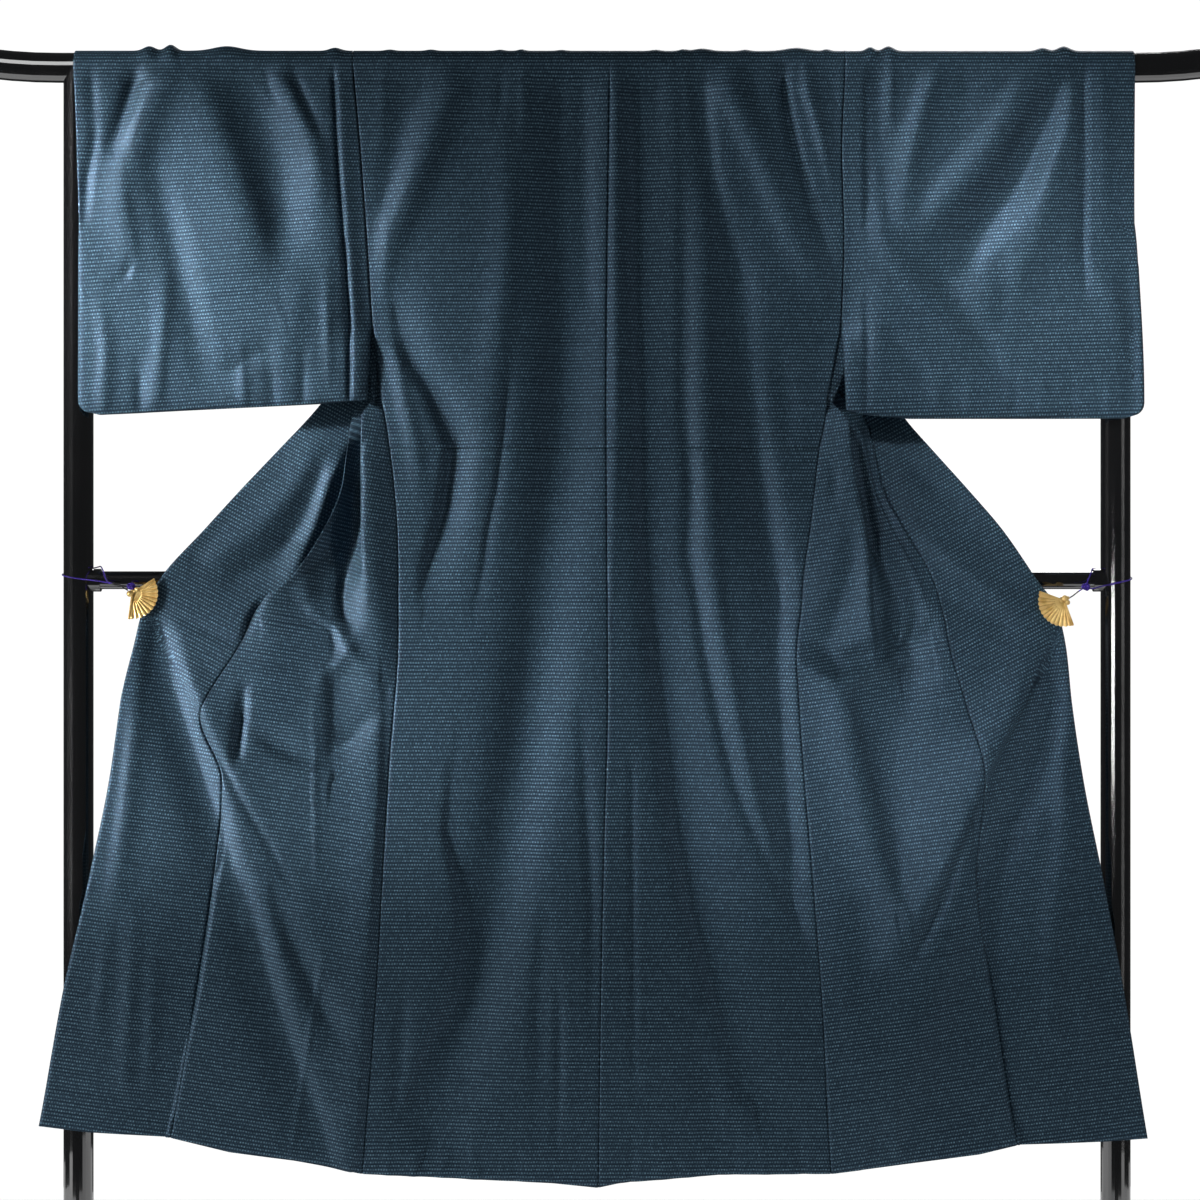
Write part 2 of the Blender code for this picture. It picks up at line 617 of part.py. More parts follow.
def collar_side(front):
    """The collar's rows down one front, as (seam place, free place) on the unrolled far side."""
    rows = []
    for height in COLLAR_ROWS:
        edge = front.across[FREE_EDGE]
        run = eased(edge, height + EDGE_PROBE) - eased(edge, height - EDGE_PROBE)
        length = math.hypot(run, 2 * EDGE_PROBE)
        seam_x = eased(edge, height) - SEAM * front.hand
        free_x = seam_x - COLLAR_WIDTH * front.hand * 2 * EDGE_PROBE / length
        free_z = height + COLLAR_WIDTH * front.hand * run / length
        edge_depth = eased(front.depth[FREE_EDGE], height)
        free_depth = max(front.strip_depth(free_x, free_z), eased(front.depth[FREE_EDGE], free_z))
        off = fade((ROD_FADE_TOP - height) / EDGE_FADE)
        edge_depth += COLLAR_BEHIND * off - OVER_RADIUS
        free_depth += COLLAR_FREE_BEHIND * off - OVER_RADIUS
        rows.append((
            Vector((seam_x, ROD_HEIGHT - height + QUARTER, edge_depth)),
            Vector((free_x, ROD_HEIGHT - free_z + QUARTER, free_depth)),
        ))
    return rows


def collar_corner(rows, neck_x, hand):
    """The collar's rows from a front's top, up over the rod, to the corner of the neck."""
    seam_x, last_free = neck_x - SEAM * hand, rows[-1][1]
    corner_free = Vector((neck_x - CORNER_REACH * hand, COLLAR_WIDTH + SEAM, CORNER_BEHIND))
    bend = []
    for k in range(COLLAR_TURN_ROWS + 1):
        along = QUARTER + (SEAM - QUARTER) * k / COLLAR_TURN_ROWS
        free = last_free.lerp(corner_free, (k + 1) / (COLLAR_TURN_ROWS + 1))
        bend.append((Vector((seam_x, along, 0.0)), free))
    return bend


def build_collar(name, group, material):
    """The band along both free edges and round the neck, where it falls over the far side."""
    left, right = collar_side(LEFT), collar_side(RIGHT)
    left += collar_corner(left, NECK_LEFT, LEFT.hand)
    right += collar_corner(right, NECK_RIGHT, RIGHT.hand)
    neck = []
    for k in range(1, COLLAR_NECK_ROWS):
        share = k / COLLAR_NECK_ROWS
        neck.append((left[-1][0].lerp(right[-1][0], share), left[-1][1].lerp(right[-1][1], share)))
    mesh = bmesh.new()
    grid = []
    for seam_place, free_place in left + neck + right[::-1]:
        line = []
        for k in range(COLLAR_ACROSS + 1):
            place = seam_place.lerp(free_place, k / COLLAR_ACROSS)
            point = over_rod(place.x, place.y, COLLAR_LIFT)
            point.y += place.z
            line.append(mesh.verts.new(point))
        grid.append(line)
    grid_faces(mesh, grid)
    return cloth(name, mesh, group, material)


class Sleeve:
    """The surface of one sleeve: a bag over the rod, closed below the hand opening and the armhole."""

    def __init__(self, shape, front):
        """Keeps the sleeve's own shape and the front that it is sewn to."""
        self.shape, self.front, self.hand = shape, front, front.hand

    def inner(self, height):
        """Where the sleeve meets the body, and below the armhole its closed inner edge."""
        if height < ARMHOLE_BOTTOM:
            return straight(self.shape.inner_low, height) + ARMHOLE_GAP * self.hand
        return eased(self.front.across[0], height) + ARMHOLE_GAP * self.hand

    def outer(self, height, far):
        """The hand edge of one layer."""
        return eased(self.shape.outer_far if far else self.shape.outer_near, height)

    def layers(self, x, z):
        """The depths of the near and the far layer, before they close on each other."""
        near, far = eased(SLEEVE_NEAR, z), eased(SLEEVE_FAR, z)
        by_post = fade(1 - (POST_X - POST_RADIUS - POST_CLEAR - abs(x)) / POST_BLEND)
        far += (eased(SLEEVE_FAR_OUTER, z) - far) * by_post
        by_seam = fade(1 - abs(x - self.inner(z)) / SLEEVE_EDGE_BLEND)
        if z >= ARMHOLE_BOTTOM:
            near += (eased(BACK_EDGE_DEPTH, z) - near) * by_seam
            far += (eased(self.front.depth[0], z) - far) * by_seam
        else:
            below = fade((ARMHOLE_BOTTOM - z) / SLEEVE_LOW_BLEND)
            near += (eased(BACK_EDGE_DEPTH, ARMHOLE_BOTTOM) - near) * (1 - below) * by_seam
            seam_far = eased(self.front.depth[0], ARMHOLE_BOTTOM)
            far += (seam_far + (SLEEVE_LOW_FAR - seam_far) * below - far) * by_seam
        return near, far

    def place(self, share, height, lift, far):
        """A point of one layer, and whether both layers meet there."""
        inner, outer = self.inner(height), self.outer(height, far)
        x = inner + (outer - inner) * share
        bottom = straight(self.shape.bottom, x)
        z = bottom + lift if lift is not None else height
        near, depth = self.layers(x, z)
        middle, half = (near + depth) / 2, (depth - near) / 2
        close = 1.0
        for distance, shut in (
            (z - bottom, True),
            (abs(x - inner), z <= ARMHOLE_BOTTOM + TINY),
            (abs(outer - x), z <= self.shape.notch + TINY),
        ):
            if shut and distance < SLEEVE_ROUND:
                close *= math.sqrt(max(0.0, 1 - (1 - distance / SLEEVE_ROUND) ** 2))
        return Vector((x, middle + (half if far else -half) * close, z)), close < TINY


def build_sleeve(name, shape, front, group, material):
    """One sleeve, from its near layer's bottom over the rod to its far layer's bottom."""
    sleeve = Sleeve(shape, front)
    mesh = bmesh.new()
    low = shape.inner_low[-1][0]
    levels = [(low + lift, lift) for lift in SLEEVE_LIFTS]
    levels += [(height, None) for height in (*SLEEVE_ROWS, shape.notch, *SLEEVE_OPEN_ROWS)]
    near_rows = []
    for height, lift in levels:
        row = []
        for share in SLEEVE_SHARES:
            point, closed = sleeve.place(share, height, lift, False)
            row.append((mesh.verts.new(point), closed))
        near_rows.append(row)
    rows = [[vertex for vertex, closed in row] for row in near_rows]
    inner = sleeve.inner(ROD_HEIGHT)
    near_outer, far_outer = sleeve.outer(ROD_HEIGHT, False), sleeve.outer(ROD_HEIGHT, True)
    for k in range(OVER_STEPS + 1):
        share_over = k / OVER_STEPS
        lift = math.sin(math.pi * share_over)
        turned = fade((share_over - FAR_TURN_START) / (1 - FAR_TURN_START))
        outer = near_outer + (far_outer - near_outer) * turned
        row = []
        for share in SLEEVE_SHARES:
            x = inner + (outer - inner) * share
            away = lift * rod_gather(x, shape.gathers)
            row.append(mesh.verts.new(over_rod(x, QUARTER * (2 * share_over - 1), away)))
        rows.append(row)
    for (height, lift), near_row in zip(levels[::-1], near_rows[::-1]):
        row = []
        for share, (near_vertex, closed) in zip(SLEEVE_SHARES, near_row):
            point = sleeve.place(share, height, lift, True)[0]
            row.append(near_vertex if closed else mesh.verts.new(point))
        rows.append(row)
    grid_faces(mesh, rows)
    return cloth(name, mesh, group, material)


def add_mesh(name, mesh, group):
    """An object made from a bmesh, which is then freed."""
    data = bpy.data.meshes.new(name)
    mesh.to_mesh(data)
    mesh.free()
    thing = bpy.data.objects.new(name, data)
    group.objects.link(thing)
    return thing


def add_cylinder(name, radius, length, centre, axis, group, material=None, sides=ROUND_SIDES):
    """A cylinder along an axis, as an object of its own."""
    mesh = bmesh.new()
    bmesh.ops.create_cone(mesh, cap_ends=True, segments=sides, radius1=radius, radius2=radius, depth=length)
    turn = Vector((0, 0, 1)).rotation_difference(axis).to_matrix().to_4x4()
    turn.translation = centre
    bmesh.ops.transform(mesh, matrix=turn, verts=mesh.verts)
    thing = add_mesh(name, mesh, group)
    if material:
        thing.data.materials.append(material)
        thing.data.shade_smooth()
        thing.data.set_sharp_from_angle(angle=SHARP_ANGLE)
    return thing


def guide(thing):
    """Marks an object as a cutter."""
    thing.hide_render = True
    thing.display_type = "WIRE"
    return thing


def combine(thing, other, operation):
    """Cuts or joins with another object."""
    step = thing.modifiers.new(operation.title(), "BOOLEAN")
    step.operation = operation
    step.object = other
    step.solver = "EXACT"
    return step


def tube(name, points, radius, group, material, resolution=2):
    """A tube with filled caps along a row of points."""
    data = bpy.data.curves.new(name, "CURVE")
    data.dimensions = "3D"
    data.bevel_depth = radius
    data.bevel_resolution = resolution
    data.use_fill_caps = True
    line = data.splines.new("POLY")
    line.points.add(len(points) - 1)
    for place, point in zip(line.points, points):
        place.co = (*point, 1.0)
    thing = bpy.data.objects.new(name, data)
    group.objects.link(thing)
    data.materials.append(material)
    return thing


def as_mesh(thing, group):
    """A closed mesh in place of a tube, so that it can be cut and joined."""
    depsgraph = bpy.context.evaluated_depsgraph_get()
    data = bpy.data.meshes.new_from_object(thing.evaluated_get(depsgraph))
    shape = bmesh.new()
    shape.from_mesh(data)
    bmesh.ops.remove_doubles(shape, verts=shape.verts, dist=0.00001)
    shape.to_mesh(data)
    shape.free()
    name, place = thing.name, thing.matrix_world.copy()
    bpy.data.objects.remove(thing, do_unlink=True)
    solid = bpy.data.objects.new(name, data)
    solid.matrix_world = place
    group.objects.link(solid)
    return solid


def build_rod(group, material):
    """The top rod, whose two ends turn up a little past the posts."""
    right_end = []
    for k in range(END_POINTS + 1):
        past = k / END_POINTS
        x = ROD_STRAIGHT + (ROD_REACH - ROD_STRAIGHT) * past
        right_end.append((x, 0.0, ROD_HEIGHT + ROD_RISE * past * past))
    left_end = [(-x, y, z) for x, y, z in right_end[::-1]]
    return tube("top_rod", left_end + right_end, ROD_RADIUS, group, material, resolution=11)


def build_post(name, x, group, cutters, material):
    """An upright, hollowed at its top to seat the rod, standing on its foot."""
    bottom = FOOT_HEIGHT + FIT
    length = ROD_HEIGHT - bottom
    post = add_cylinder(name, POST_RADIUS, length, Vector((x, 0, bottom + length / 2)), Vector((0, 0, 1)),
                        group, material)
    seat = guide(add_cylinder(f"{name}_seat", ROD_RADIUS + FIT, CUTTER_LENGTH, Vector((x, 0, ROD_HEIGHT)),
                              Vector((1, 0, 0)), cutters))
    combine(post, seat, "DIFFERENCE")
    return post


def build_rail(group, cutters, material):
    """The middle rail, with a small turned collar at each post."""
    along, upright = Vector((1, 0, 0)), Vector((0, 0, 1))
    rail = add_cylinder("mid_rail", RAIL_RADIUS, 2 * POST_X, Vector((0, 0, RAIL_HEIGHT)), along,
                        group, material)
    ring_length = RAIL_COLLAR_LENGTH + RAIL_COLLAR_INTO_POST
    ring_x = POST_X - POST_RADIUS - RAIL_COLLAR_LENGTH + ring_length / 2
    for hand in (-1, 1):
        ring = guide(add_cylinder(f"rail_collar_{hand}", RAIL_COLLAR_RADIUS, ring_length,
                                  Vector((hand * ring_x, 0, RAIL_HEIGHT)), along, cutters))
        combine(rail, ring, "UNION")
        seat = guide(add_cylinder(f"rail_seat_{hand}", POST_RADIUS + FIT, CUTTER_LENGTH,
                                  Vector((hand * POST_X, 0, RAIL_HEIGHT)), upright, cutters))
        combine(rail, seat, "DIFFERENCE")
        trim = guide(add_cylinder(f"rail_trim_{hand}", 2 * RAIL_RADIUS, 2 * POST_RADIUS,
                                  Vector((hand * (POST_X + POST_RADIUS), 0, RAIL_HEIGHT)), along, cutters))
        combine(rail, trim, "DIFFERENCE")
    return rail


def build_foot(name, x, group, material):
    """A foot that runs fore and aft, with rounded ends and edges."""
    mesh = bmesh.new()
    bmesh.ops.create_cube(mesh, size=1.0)
    bmesh.ops.scale(mesh, vec=Vector((FOOT_WIDTH, FOOT_LENGTH, FOOT_HEIGHT)), verts=mesh.verts)
    upright = [e for e in mesh.edges if abs(e.verts[0].co.z - e.verts[1].co.z) > FOOT_HEIGHT / 2]
    bmesh.ops.bevel(mesh, geom=upright, offset=FOOT_CORNER, segments=6, affect="EDGES", profile=0.5)
    rim = [e for e in mesh.edges if all(v.co.z > FOOT_HEIGHT / 2 - TINY for v in e.verts)]
    bmesh.ops.bevel(mesh, geom=rim, offset=FOOT_RIM, segments=2, affect="EDGES", profile=0.5)
    bmesh.ops.translate(mesh, vec=Vector((x, 0, FOOT_HEIGHT / 2)), verts=mesh.verts)
    thing = add_mesh(name, mesh, group)
    thing.data.materials.append(material)
    thing.data.shade_smooth()
    thing.data.set_sharp_from_angle(angle=SHARP_ANGLE)
    return thing


def build_clip(name, clip, group, cutters, material):
    """A folding-fan clip: a pleated fan in front of the cloth, a jaw behind it and a pivot."""
    off_cloth = WALL / 2 + FIT + CLIP_SHEET / 2 + CLIP_PLAY
    front_y = CLOTH_AT_CLIP - off_cloth - CLIP_PLEAT_DEPTH
    rear_y = CLOTH_AT_CLIP + off_cloth
    mesh = bmesh.new()
    rows = []
    creases = 2 * CLIP_PLEATS
    for reach in CLIP_REACHES:
        row = []
        for k in range(creases + 1):
            angle = math.radians(clip.first + (clip.last - clip.first) * k / creases)
            deep = CLIP_PLEAT_DEPTH * (1 if k % 2 else -1) * reach / CLIP_RADIUS
            length = reach - (CLIP_SCALLOP if k % 2 and reach == CLIP_RADIUS else 0)
            place = (clip.x + length * math.cos(angle), front_y + deep, clip.z + length * math.sin(angle))
            row.append(mesh.verts.new(place))
        rows.append(row)
    grid_faces(mesh, rows)
    fan = cloth(name, mesh, group, material, CLIP_SHEET, even=True)
    pivot = guide(add_cylinder(f"{name}_pivot", CLIP_PIVOT, rear_y - front_y + 2 * CLIP_SHEET,
                               Vector((clip.x, (front_y + rear_y) / 2, clip.z)), Vector((0, 1, 0)), cutters,
                               sides=16))
    combine(fan, pivot, "UNION")
    jaw = bmesh.new()
    bmesh.ops.create_cube(jaw, size=1.0)
    bmesh.ops.scale(jaw, vec=Vector((JAW_LENGTH, CLIP_SHEET, JAW_WIDTH)), verts=jaw.verts)
    bmesh.ops.translate(jaw, vec=Vector((JAW_LENGTH / 2, 0, 0)), verts=jaw.verts)
    middle = math.radians((clip.first + clip.last) / 2)
    into_cloth = Vector((math.cos(middle), 0, math.sin(middle)))
    turn = Vector((1, 0, 0)).rotation_difference(into_cloth).to_matrix().to_4x4()
    turn.translation = Vector((clip.x, rear_y, clip.z))
    bmesh.ops.transform(jaw, matrix=turn, verts=jaw.verts)
    combine(fan, guide(add_mesh(f"{name}_jaw", jaw, cutters)), "UNION")
    return fan


def cord_route(hand, clip, rise):
    """The cord's way: from the clip to its knot, round the post and back over the rail."""
    start_x = clip.x + hand * (CLIP_PIVOT + 2 * FIT)
    ring = POST_RADIUS + CORD_RADIUS + CORD_OFF_POST
    points = [
        Vector((start_x, CLOTH_AT_CLIP, clip.z + 0.001)),
        Vector((start_x + hand * 0.010, CLOTH_AT_CLIP + 0.002, clip.z + 0.008)),
        Vector((hand * 0.640, -0.0225, 1.0005 + rise)),
        Vector((hand * 0.656, -0.0222, 1.0035 + rise)),
    ]
    low, high = 1.0062 + rise, 1.0178
    for k in range(CORD_TURN_POINTS):
        share = k / (CORD_TURN_POINTS - 1)
        angle = math.radians(CORD_TURN[0] + (CORD_TURN[1] - CORD_TURN[0]) * share)
        points.append(Vector((
            hand * (POST_X + ring * math.cos(angle)),
            ring * math.sin(angle),
            low + (high - low) * share,
        )))
    points += [
        Vector((hand * 0.6580, 0.0100, 1.0195)),
        Vector((hand * 0.6530, 0.0000, 1.0202)),
        Vector((hand * 0.6490, -0.0105, 1.0172)),
        Vector((hand * 0.6450, -0.0168, 1.0098)),
        Vector((hand * 0.6425, -0.0200, 1.0055 + rise * 0.6)),
    ]
    return points


def rounded_route(points, spacing):
    """Points at an even spacing along a round curve through the route."""
    fine = []
    for k in range((len(points) - 1) * 24 + 1):
        fine.append(Vector([through([p[i] for p in points], k / 24) for i in range(3)]))
    total = sum((b - a).length for a, b in zip(fine, fine[1:]))
    count = max(2, round(total / spacing))
    picked, walked, wanted = [fine[0]], 0.0, total / count
    for a, b in zip(fine, fine[1:]):
        walked += (b - a).length
        if walked >= wanted * len(picked) and len(picked) < count:
            picked.append(b)
    picked.append(fine[-1])
    return picked


def build_cord(name, hand, clip, rise, group, cutters, material):
    """A thin cord tied round the post over the rail, with its knot."""
    points = rounded_route(cord_route(hand, clip, rise), CORD_SPACING)
    cord = as_mesh(tube(name, points, CORD_RADIUS, group, material), group)
    knot = bmesh.new()
    bmesh.ops.create_uvsphere(knot, u_segments=12, v_segments=8, radius=KNOT_RADIUS)
    bmesh.ops.translate(knot, vec=Vector((hand * 0.6405, -0.0215, 1.0018 + rise)), verts=knot.verts)
    combine(cord, guide(add_mesh(f"{name}_knot", knot, cutters)), "UNION")
    return cord


def main():
    """Builds the garment, the rack, the clips and the cords."""
    clear_scene()
    group = collection("kimono_on_rack")
    cutters = collection("cutters")
    silk = finish("navy_silk", (0.030, 0.055, 0.090), 0.55)
    lacquer = finish("black_lacquer", (0.006, 0.006, 0.007), 0.12)
    gilt = finish("gilt_metal", (0.80, 0.58, 0.22), 0.25, 1.0)
    purple = finish("purple_cord", (0.05, 0.008, 0.32), 0.6)
    body_gathers = ((0.139, 0.014, 0.003), (0.262, 0.020, 0.004))
    build_body("body_left", LEFT, body_gathers, group, silk)
    build_body("body_right", RIGHT, body_gathers, group, silk)
    build_okumi("okumi_left", LEFT, group, silk)
    build_okumi("okumi_right", RIGHT, group, silk)
    build_collar("collar", group, silk)
    build_sleeve("sleeve_left", SLEEVE_LEFT, LEFT, group, silk)
    build_sleeve("sleeve_right", SLEEVE_RIGHT, RIGHT, group, silk)
    build_rod(group, lacquer)
    build_rail(group, cutters, lacquer)
    for side, hand in (("left", -1), ("right", 1)):
        build_post(f"post_{side}", hand * POST_X, group, cutters, lacquer)
        build_foot(f"foot_{side}", hand * POST_X, group, lacquer)
    build_clip("clip_left", CLIP_LEFT, group, cutters, gilt)
    build_clip("clip_right", CLIP_RIGHT, group, cutters, gilt)
    build_cord("cord_left", -1, CLIP_LEFT, 0.0, group, cutters, purple)
    build_cord("cord_right", 1, CLIP_RIGHT, -0.006, group, cutters, purple)


main()
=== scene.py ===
"""Dresses a man's kimono on its rack: woven silk, black lacquer, gilt fan clips and purple cords.

Metres, +Z up. The back of the garment faces -Y and the rack stands on z = 0. Every sheet of cloth is a
thin shell laid on the surface that its solid follows, at a finer pitch and with the finer folds added.
"""

import logging
import math
from dataclasses import dataclass, field
from enum import Enum

import bpy
import numpy as np
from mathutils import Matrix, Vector


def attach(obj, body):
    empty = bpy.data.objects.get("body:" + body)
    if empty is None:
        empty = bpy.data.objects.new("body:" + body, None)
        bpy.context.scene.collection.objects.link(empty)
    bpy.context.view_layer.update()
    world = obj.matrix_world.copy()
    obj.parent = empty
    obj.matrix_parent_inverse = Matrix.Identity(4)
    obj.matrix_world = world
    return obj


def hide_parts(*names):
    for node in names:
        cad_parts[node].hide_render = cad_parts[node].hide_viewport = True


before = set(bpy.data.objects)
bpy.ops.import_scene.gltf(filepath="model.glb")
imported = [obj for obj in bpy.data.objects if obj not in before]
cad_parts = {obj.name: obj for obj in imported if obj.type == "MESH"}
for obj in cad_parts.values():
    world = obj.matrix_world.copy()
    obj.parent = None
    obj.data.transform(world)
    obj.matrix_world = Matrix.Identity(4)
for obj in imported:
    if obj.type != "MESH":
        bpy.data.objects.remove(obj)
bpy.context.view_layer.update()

log = logging.getLogger("kimono")

ROOT = "root"


class Slot(Enum):
    """The record's slots of the pieces that are made here."""

    SILK = "navy_silk"
    GILT = "gilt_metal"
    CORD = "purple_cord"


class Hand(Enum):
    """Which side of the garment, as the back is seen."""

    LEFT = -1
    RIGHT = 1

    @property
    def word(self) -> str:
        """The side's name in the nodes."""
        return self.name.lower()


# Shader maths


@dataclass(frozen=True)
class Wire:
    """A socket whose arithmetic adds Math nodes to its recipe."""

    recipe: "Recipe"
    socket: bpy.types.NodeSocket

    def _math(self, operation: str, *values: object) -> "Wire":
        """Adds one Math node."""
        inputs = {k: value for k, value in enumerate(values)}
        return self.recipe.node("ShaderNodeMath", {"operation": operation}, inputs, "Value")

    def __add__(self, other: object) -> "Wire":
        """Sum."""
        return self._math("ADD", self, other)

    __radd__ = __add__

    def __sub__(self, other: object) -> "Wire":
        """Difference."""
        return self._math("SUBTRACT", self, other)

    def __rsub__(self, other: object) -> "Wire":
        """Difference from a number."""
        return self._math("SUBTRACT", other, self)

    def __mul__(self, other: object) -> "Wire":
        """Product."""
        return self._math("MULTIPLY", self, other)

    def __truediv__(self, other: object) -> "Wire":
        """Quotient."""
        return self._math("DIVIDE", self, other)

    def floor(self) -> "Wire":
        """The whole number below."""
        return self._math("FLOOR", self)

    def fraction(self) -> "Wire":
        """The part after the whole number."""
        return self._math("FRACT", self)

    def size(self) -> "Wire":
        """The value without its sign."""
        return self._math("ABSOLUTE", self)

    def eased(self, low: float, high: float) -> "Wire":
        """Goes smoothly from 0 at low to 1 at high.

        Args:
            low: the value that gives 0.
            high: the value that gives 1.

        Returns:
            The eased value.
        """
        return self.recipe.node(
            "ShaderNodeMapRange",
            {"interpolation_type": "SMOOTHSTEP"},
            {"Value": self, "From Min": low, "From Max": high},
            "Result",
        )


class Recipe:
    """Builds one material's nodes round its Principled shader."""

    def __init__(self, name: str) -> None:
        """Makes an empty material with its shader.

        Args:
            name: the material's name.
        """
        self.material = bpy.data.materials.new(name)
        self.material.use_nodes = True
        self.tree = self.material.node_tree
        self.shader = self.tree.nodes["Principled BSDF"]

    def node(self, kind: str, settings: dict, inputs: dict, output: object) -> Wire:
        """Adds a node: its settings first, then the values or links of its sockets.

        Args:
            kind: the node's type.
            settings: attributes to set, such as a Math node's operation.
            inputs: socket names or numbers, with a number, a tuple or a Wire for each.
            output: the name or number of the socket to read.

        Returns:
            A wire from that output.
        """
        made = self.tree.nodes.new(kind)
        for name, value in settings.items():
            setattr(made, name, value)
        for name, value in inputs.items():
            self.feed(made.inputs[name], value)
        return Wire(self, made.outputs[output])

    def feed(self, socket: bpy.types.NodeSocket, value: object) -> None:
        """Sets a socket to a constant, or links a wire to it."""
        if isinstance(value, Wire):
            self.tree.links.new(value.socket, socket)
        else:
            socket.default_value = value

    def set(self, **constants: object) -> None:
        """Sets the shader's constant sockets, with _ for a space in their names."""
        for name, value in constants.items():
            self.feed(self.shader.inputs[name.replace("_", " ")], value)

    def noise(self, place: Wire, scale: float, detail: float = 2.0) -> Wire:
        """Even noise from 0 to 1.

        Args:
            place: the coordinates.
            scale: patches a metre.
            detail: how many finer layers it has.

        Returns:
            The noise value.
        """
        return self.node("ShaderNodeTexNoise", {}, {"Vector": place, "Scale": scale, "Detail": detail}, "Fac")

    def stretched(self, place: Wire, scale: object) -> Wire:
        """Coordinates or a colour scaled along each axis."""
        return self.node("ShaderNodeVectorMath", {"operation": "MULTIPLY"}, {0: place, 1: scale}, "Vector")

    def length(self, vector: Wire) -> Wire:
        """The length of a vector."""
        return self.node("ShaderNodeVectorMath", {"operation": "LENGTH"}, {0: vector}, "Value")

    def blend(self, share: object, first: object, second: object) -> Wire:
        """Mixes two colours.

        Args:
            share: how much of the second.
            first: a colour with alpha, or a wire.
            second: a colour with alpha, or a wire.

        Returns:
            The mixed colour.
        """
        made = self.tree.nodes.new("ShaderNodeMix")
        made.data_type = "RGBA"
        self.feed(made.inputs["Factor"], share)
        self.feed(made.inputs[6], first)
        self.feed(made.inputs[7], second)
        return Wire(self, made.outputs[2])

    def bump(self, height: Wire, distance: float, strength: float) -> None:
        """Raises the surface by a height field.

        Args:
            height: the field, from 0 to 1.
            distance: metres for a height of 1.
            strength: the share of the effect.
        """
        made = self.node(
            "ShaderNodeBump", {}, {"Height": height, "Distance": distance, "Strength": strength}, "Normal"
        )
        self.feed(self.shader.inputs["Normal"], made)


def colour(red: int, green: int, blue: int) -> tuple:
    """A screen colour of 0 to 255 as the linear colour that shaders take."""
    parts = []
    for value in (red / 255, green / 255, blue / 255):
        parts.append(value / 12.92 if value <= 0.04045 else ((value + 0.055) / 1.055) ** 2.4)
    return (*parts, 1.0)


# Finishes


@dataclass(frozen=True)
class NavySilk:
    """Navy silk with rows of short pale dashes, every other row set half a dash across."""

    row_pitch: float = 0.0048
    dash_pitch: float = 0.0035
    dash_core: float = 0.12
    dash_reach: float = 0.46
    row_core: float = 0.06
    row_reach: float = 0.34
    ground: tuple = colour(36, 52, 64)
    dark_ground: tuple = colour(25, 38, 49)
    dash: tuple = colour(97, 127, 144)
    grain: float = 0.85
    wander_scale: float = 60.0
    wander: float = 0.25
    thread_scale: tuple = (380.0, 620.0, 1.0)
    slub_scale: tuple = (9.0, 520.0, 1.0)
    faintest: float = 0.45
    variety: float = 0.75
    weave: str = "Weave"

    def material(self, name: str) -> bpy.types.Material:
        """Builds the silk on the pieces' own weave coordinates, in metres across and along the cloth."""
        recipe = Recipe(name)
        place = recipe.node("ShaderNodeUVMap", {"uv_map": self.weave}, {}, "UV")
        split = recipe.tree.nodes.new("ShaderNodeSeparateXYZ")
        recipe.feed(split.inputs[0], place)
        across, along = Wire(recipe, split.outputs["X"]), Wire(recipe, split.outputs["Y"])
        wander = recipe.noise(place, self.wander_scale) - 0.5
        row = along / self.row_pitch + wander * self.wander
        stagger = (row.floor() * 0.5).fraction()
        dash = across / self.dash_pitch + stagger
        off_row = (row.fraction() - 0.5).size()
        off_dash = (dash.fraction() - 0.5).size()
        in_row = 1 - off_row.eased(self.row_core, self.row_reach)
        in_dash = 1 - off_dash.eased(self.dash_core, self.dash_reach)
        thread = recipe.noise(recipe.stretched(place, self.thread_scale), 1.0, 3.0)
        cell = recipe.node("ShaderNodeCombineXYZ", {}, {"X": dash.floor(), "Y": row.floor()}, "Vector")
        lot = recipe.node("ShaderNodeTexWhiteNoise", {"noise_dimensions": "2D"}, {"Vector": cell}, "Value")
        slub = recipe.noise(recipe.stretched(place, self.slub_scale), 1.0, 2.0)
        dashes = in_row * in_dash * (self.faintest + lot * self.variety)
        ground = recipe.blend(slub.eased(0.35, 0.65), self.dark_ground, self.ground)
        base = recipe.blend(dashes, ground, self.dash)
        light = 1 + (thread.eased(0.34, 0.66) - 0.5) * self.grain
        recipe.feed(recipe.shader.inputs["Base Color"], recipe.stretched(base, light))
        recipe.feed(recipe.shader.inputs["Roughness"], 0.50 - dashes * 0.08 + slub * 0.04)
        recipe.bump(dashes * 0.7 + thread * 0.3, 0.00022, 0.5)
        recipe.set(Sheen_Weight=0.12, Sheen_Roughness=0.35, Sheen_Tint=colour(120, 165, 205))
        recipe.set(Specular_IOR_Level=0.42, Specular_Tint=colour(176, 214, 255))
        return recipe.material


@dataclass(frozen=True)
class BlackLacquer:
    """Deep glossy black lacquer over turned wood."""

    black: tuple = colour(9, 9, 10)
    worn: tuple = colour(22, 20, 20)

    def material(self, name: str) -> bpy.types.Material:
        """Builds the lacquer on Object coordinates."""
        recipe = Recipe(name)
        place = recipe.node("ShaderNodeTexCoord", {}, {}, "Object")
        cloud = recipe.noise(place, 9.0, 4.0)
        ripple = recipe.noise(place, 55.0, 2.0)
        base = recipe.blend(cloud.eased(0.55, 0.8), self.black, self.worn)
        recipe.feed(recipe.shader.inputs["Base Color"], base)
        recipe.feed(recipe.shader.inputs["Roughness"], 0.07 + cloud * 0.08)
        recipe.bump(ripple, 0.0002, 0.12)
        recipe.set(Coat_Weight=1.0, Coat_Roughness=0.04, Coat_IOR=2.1, Specular_IOR_Level=0.7)
        return recipe.material


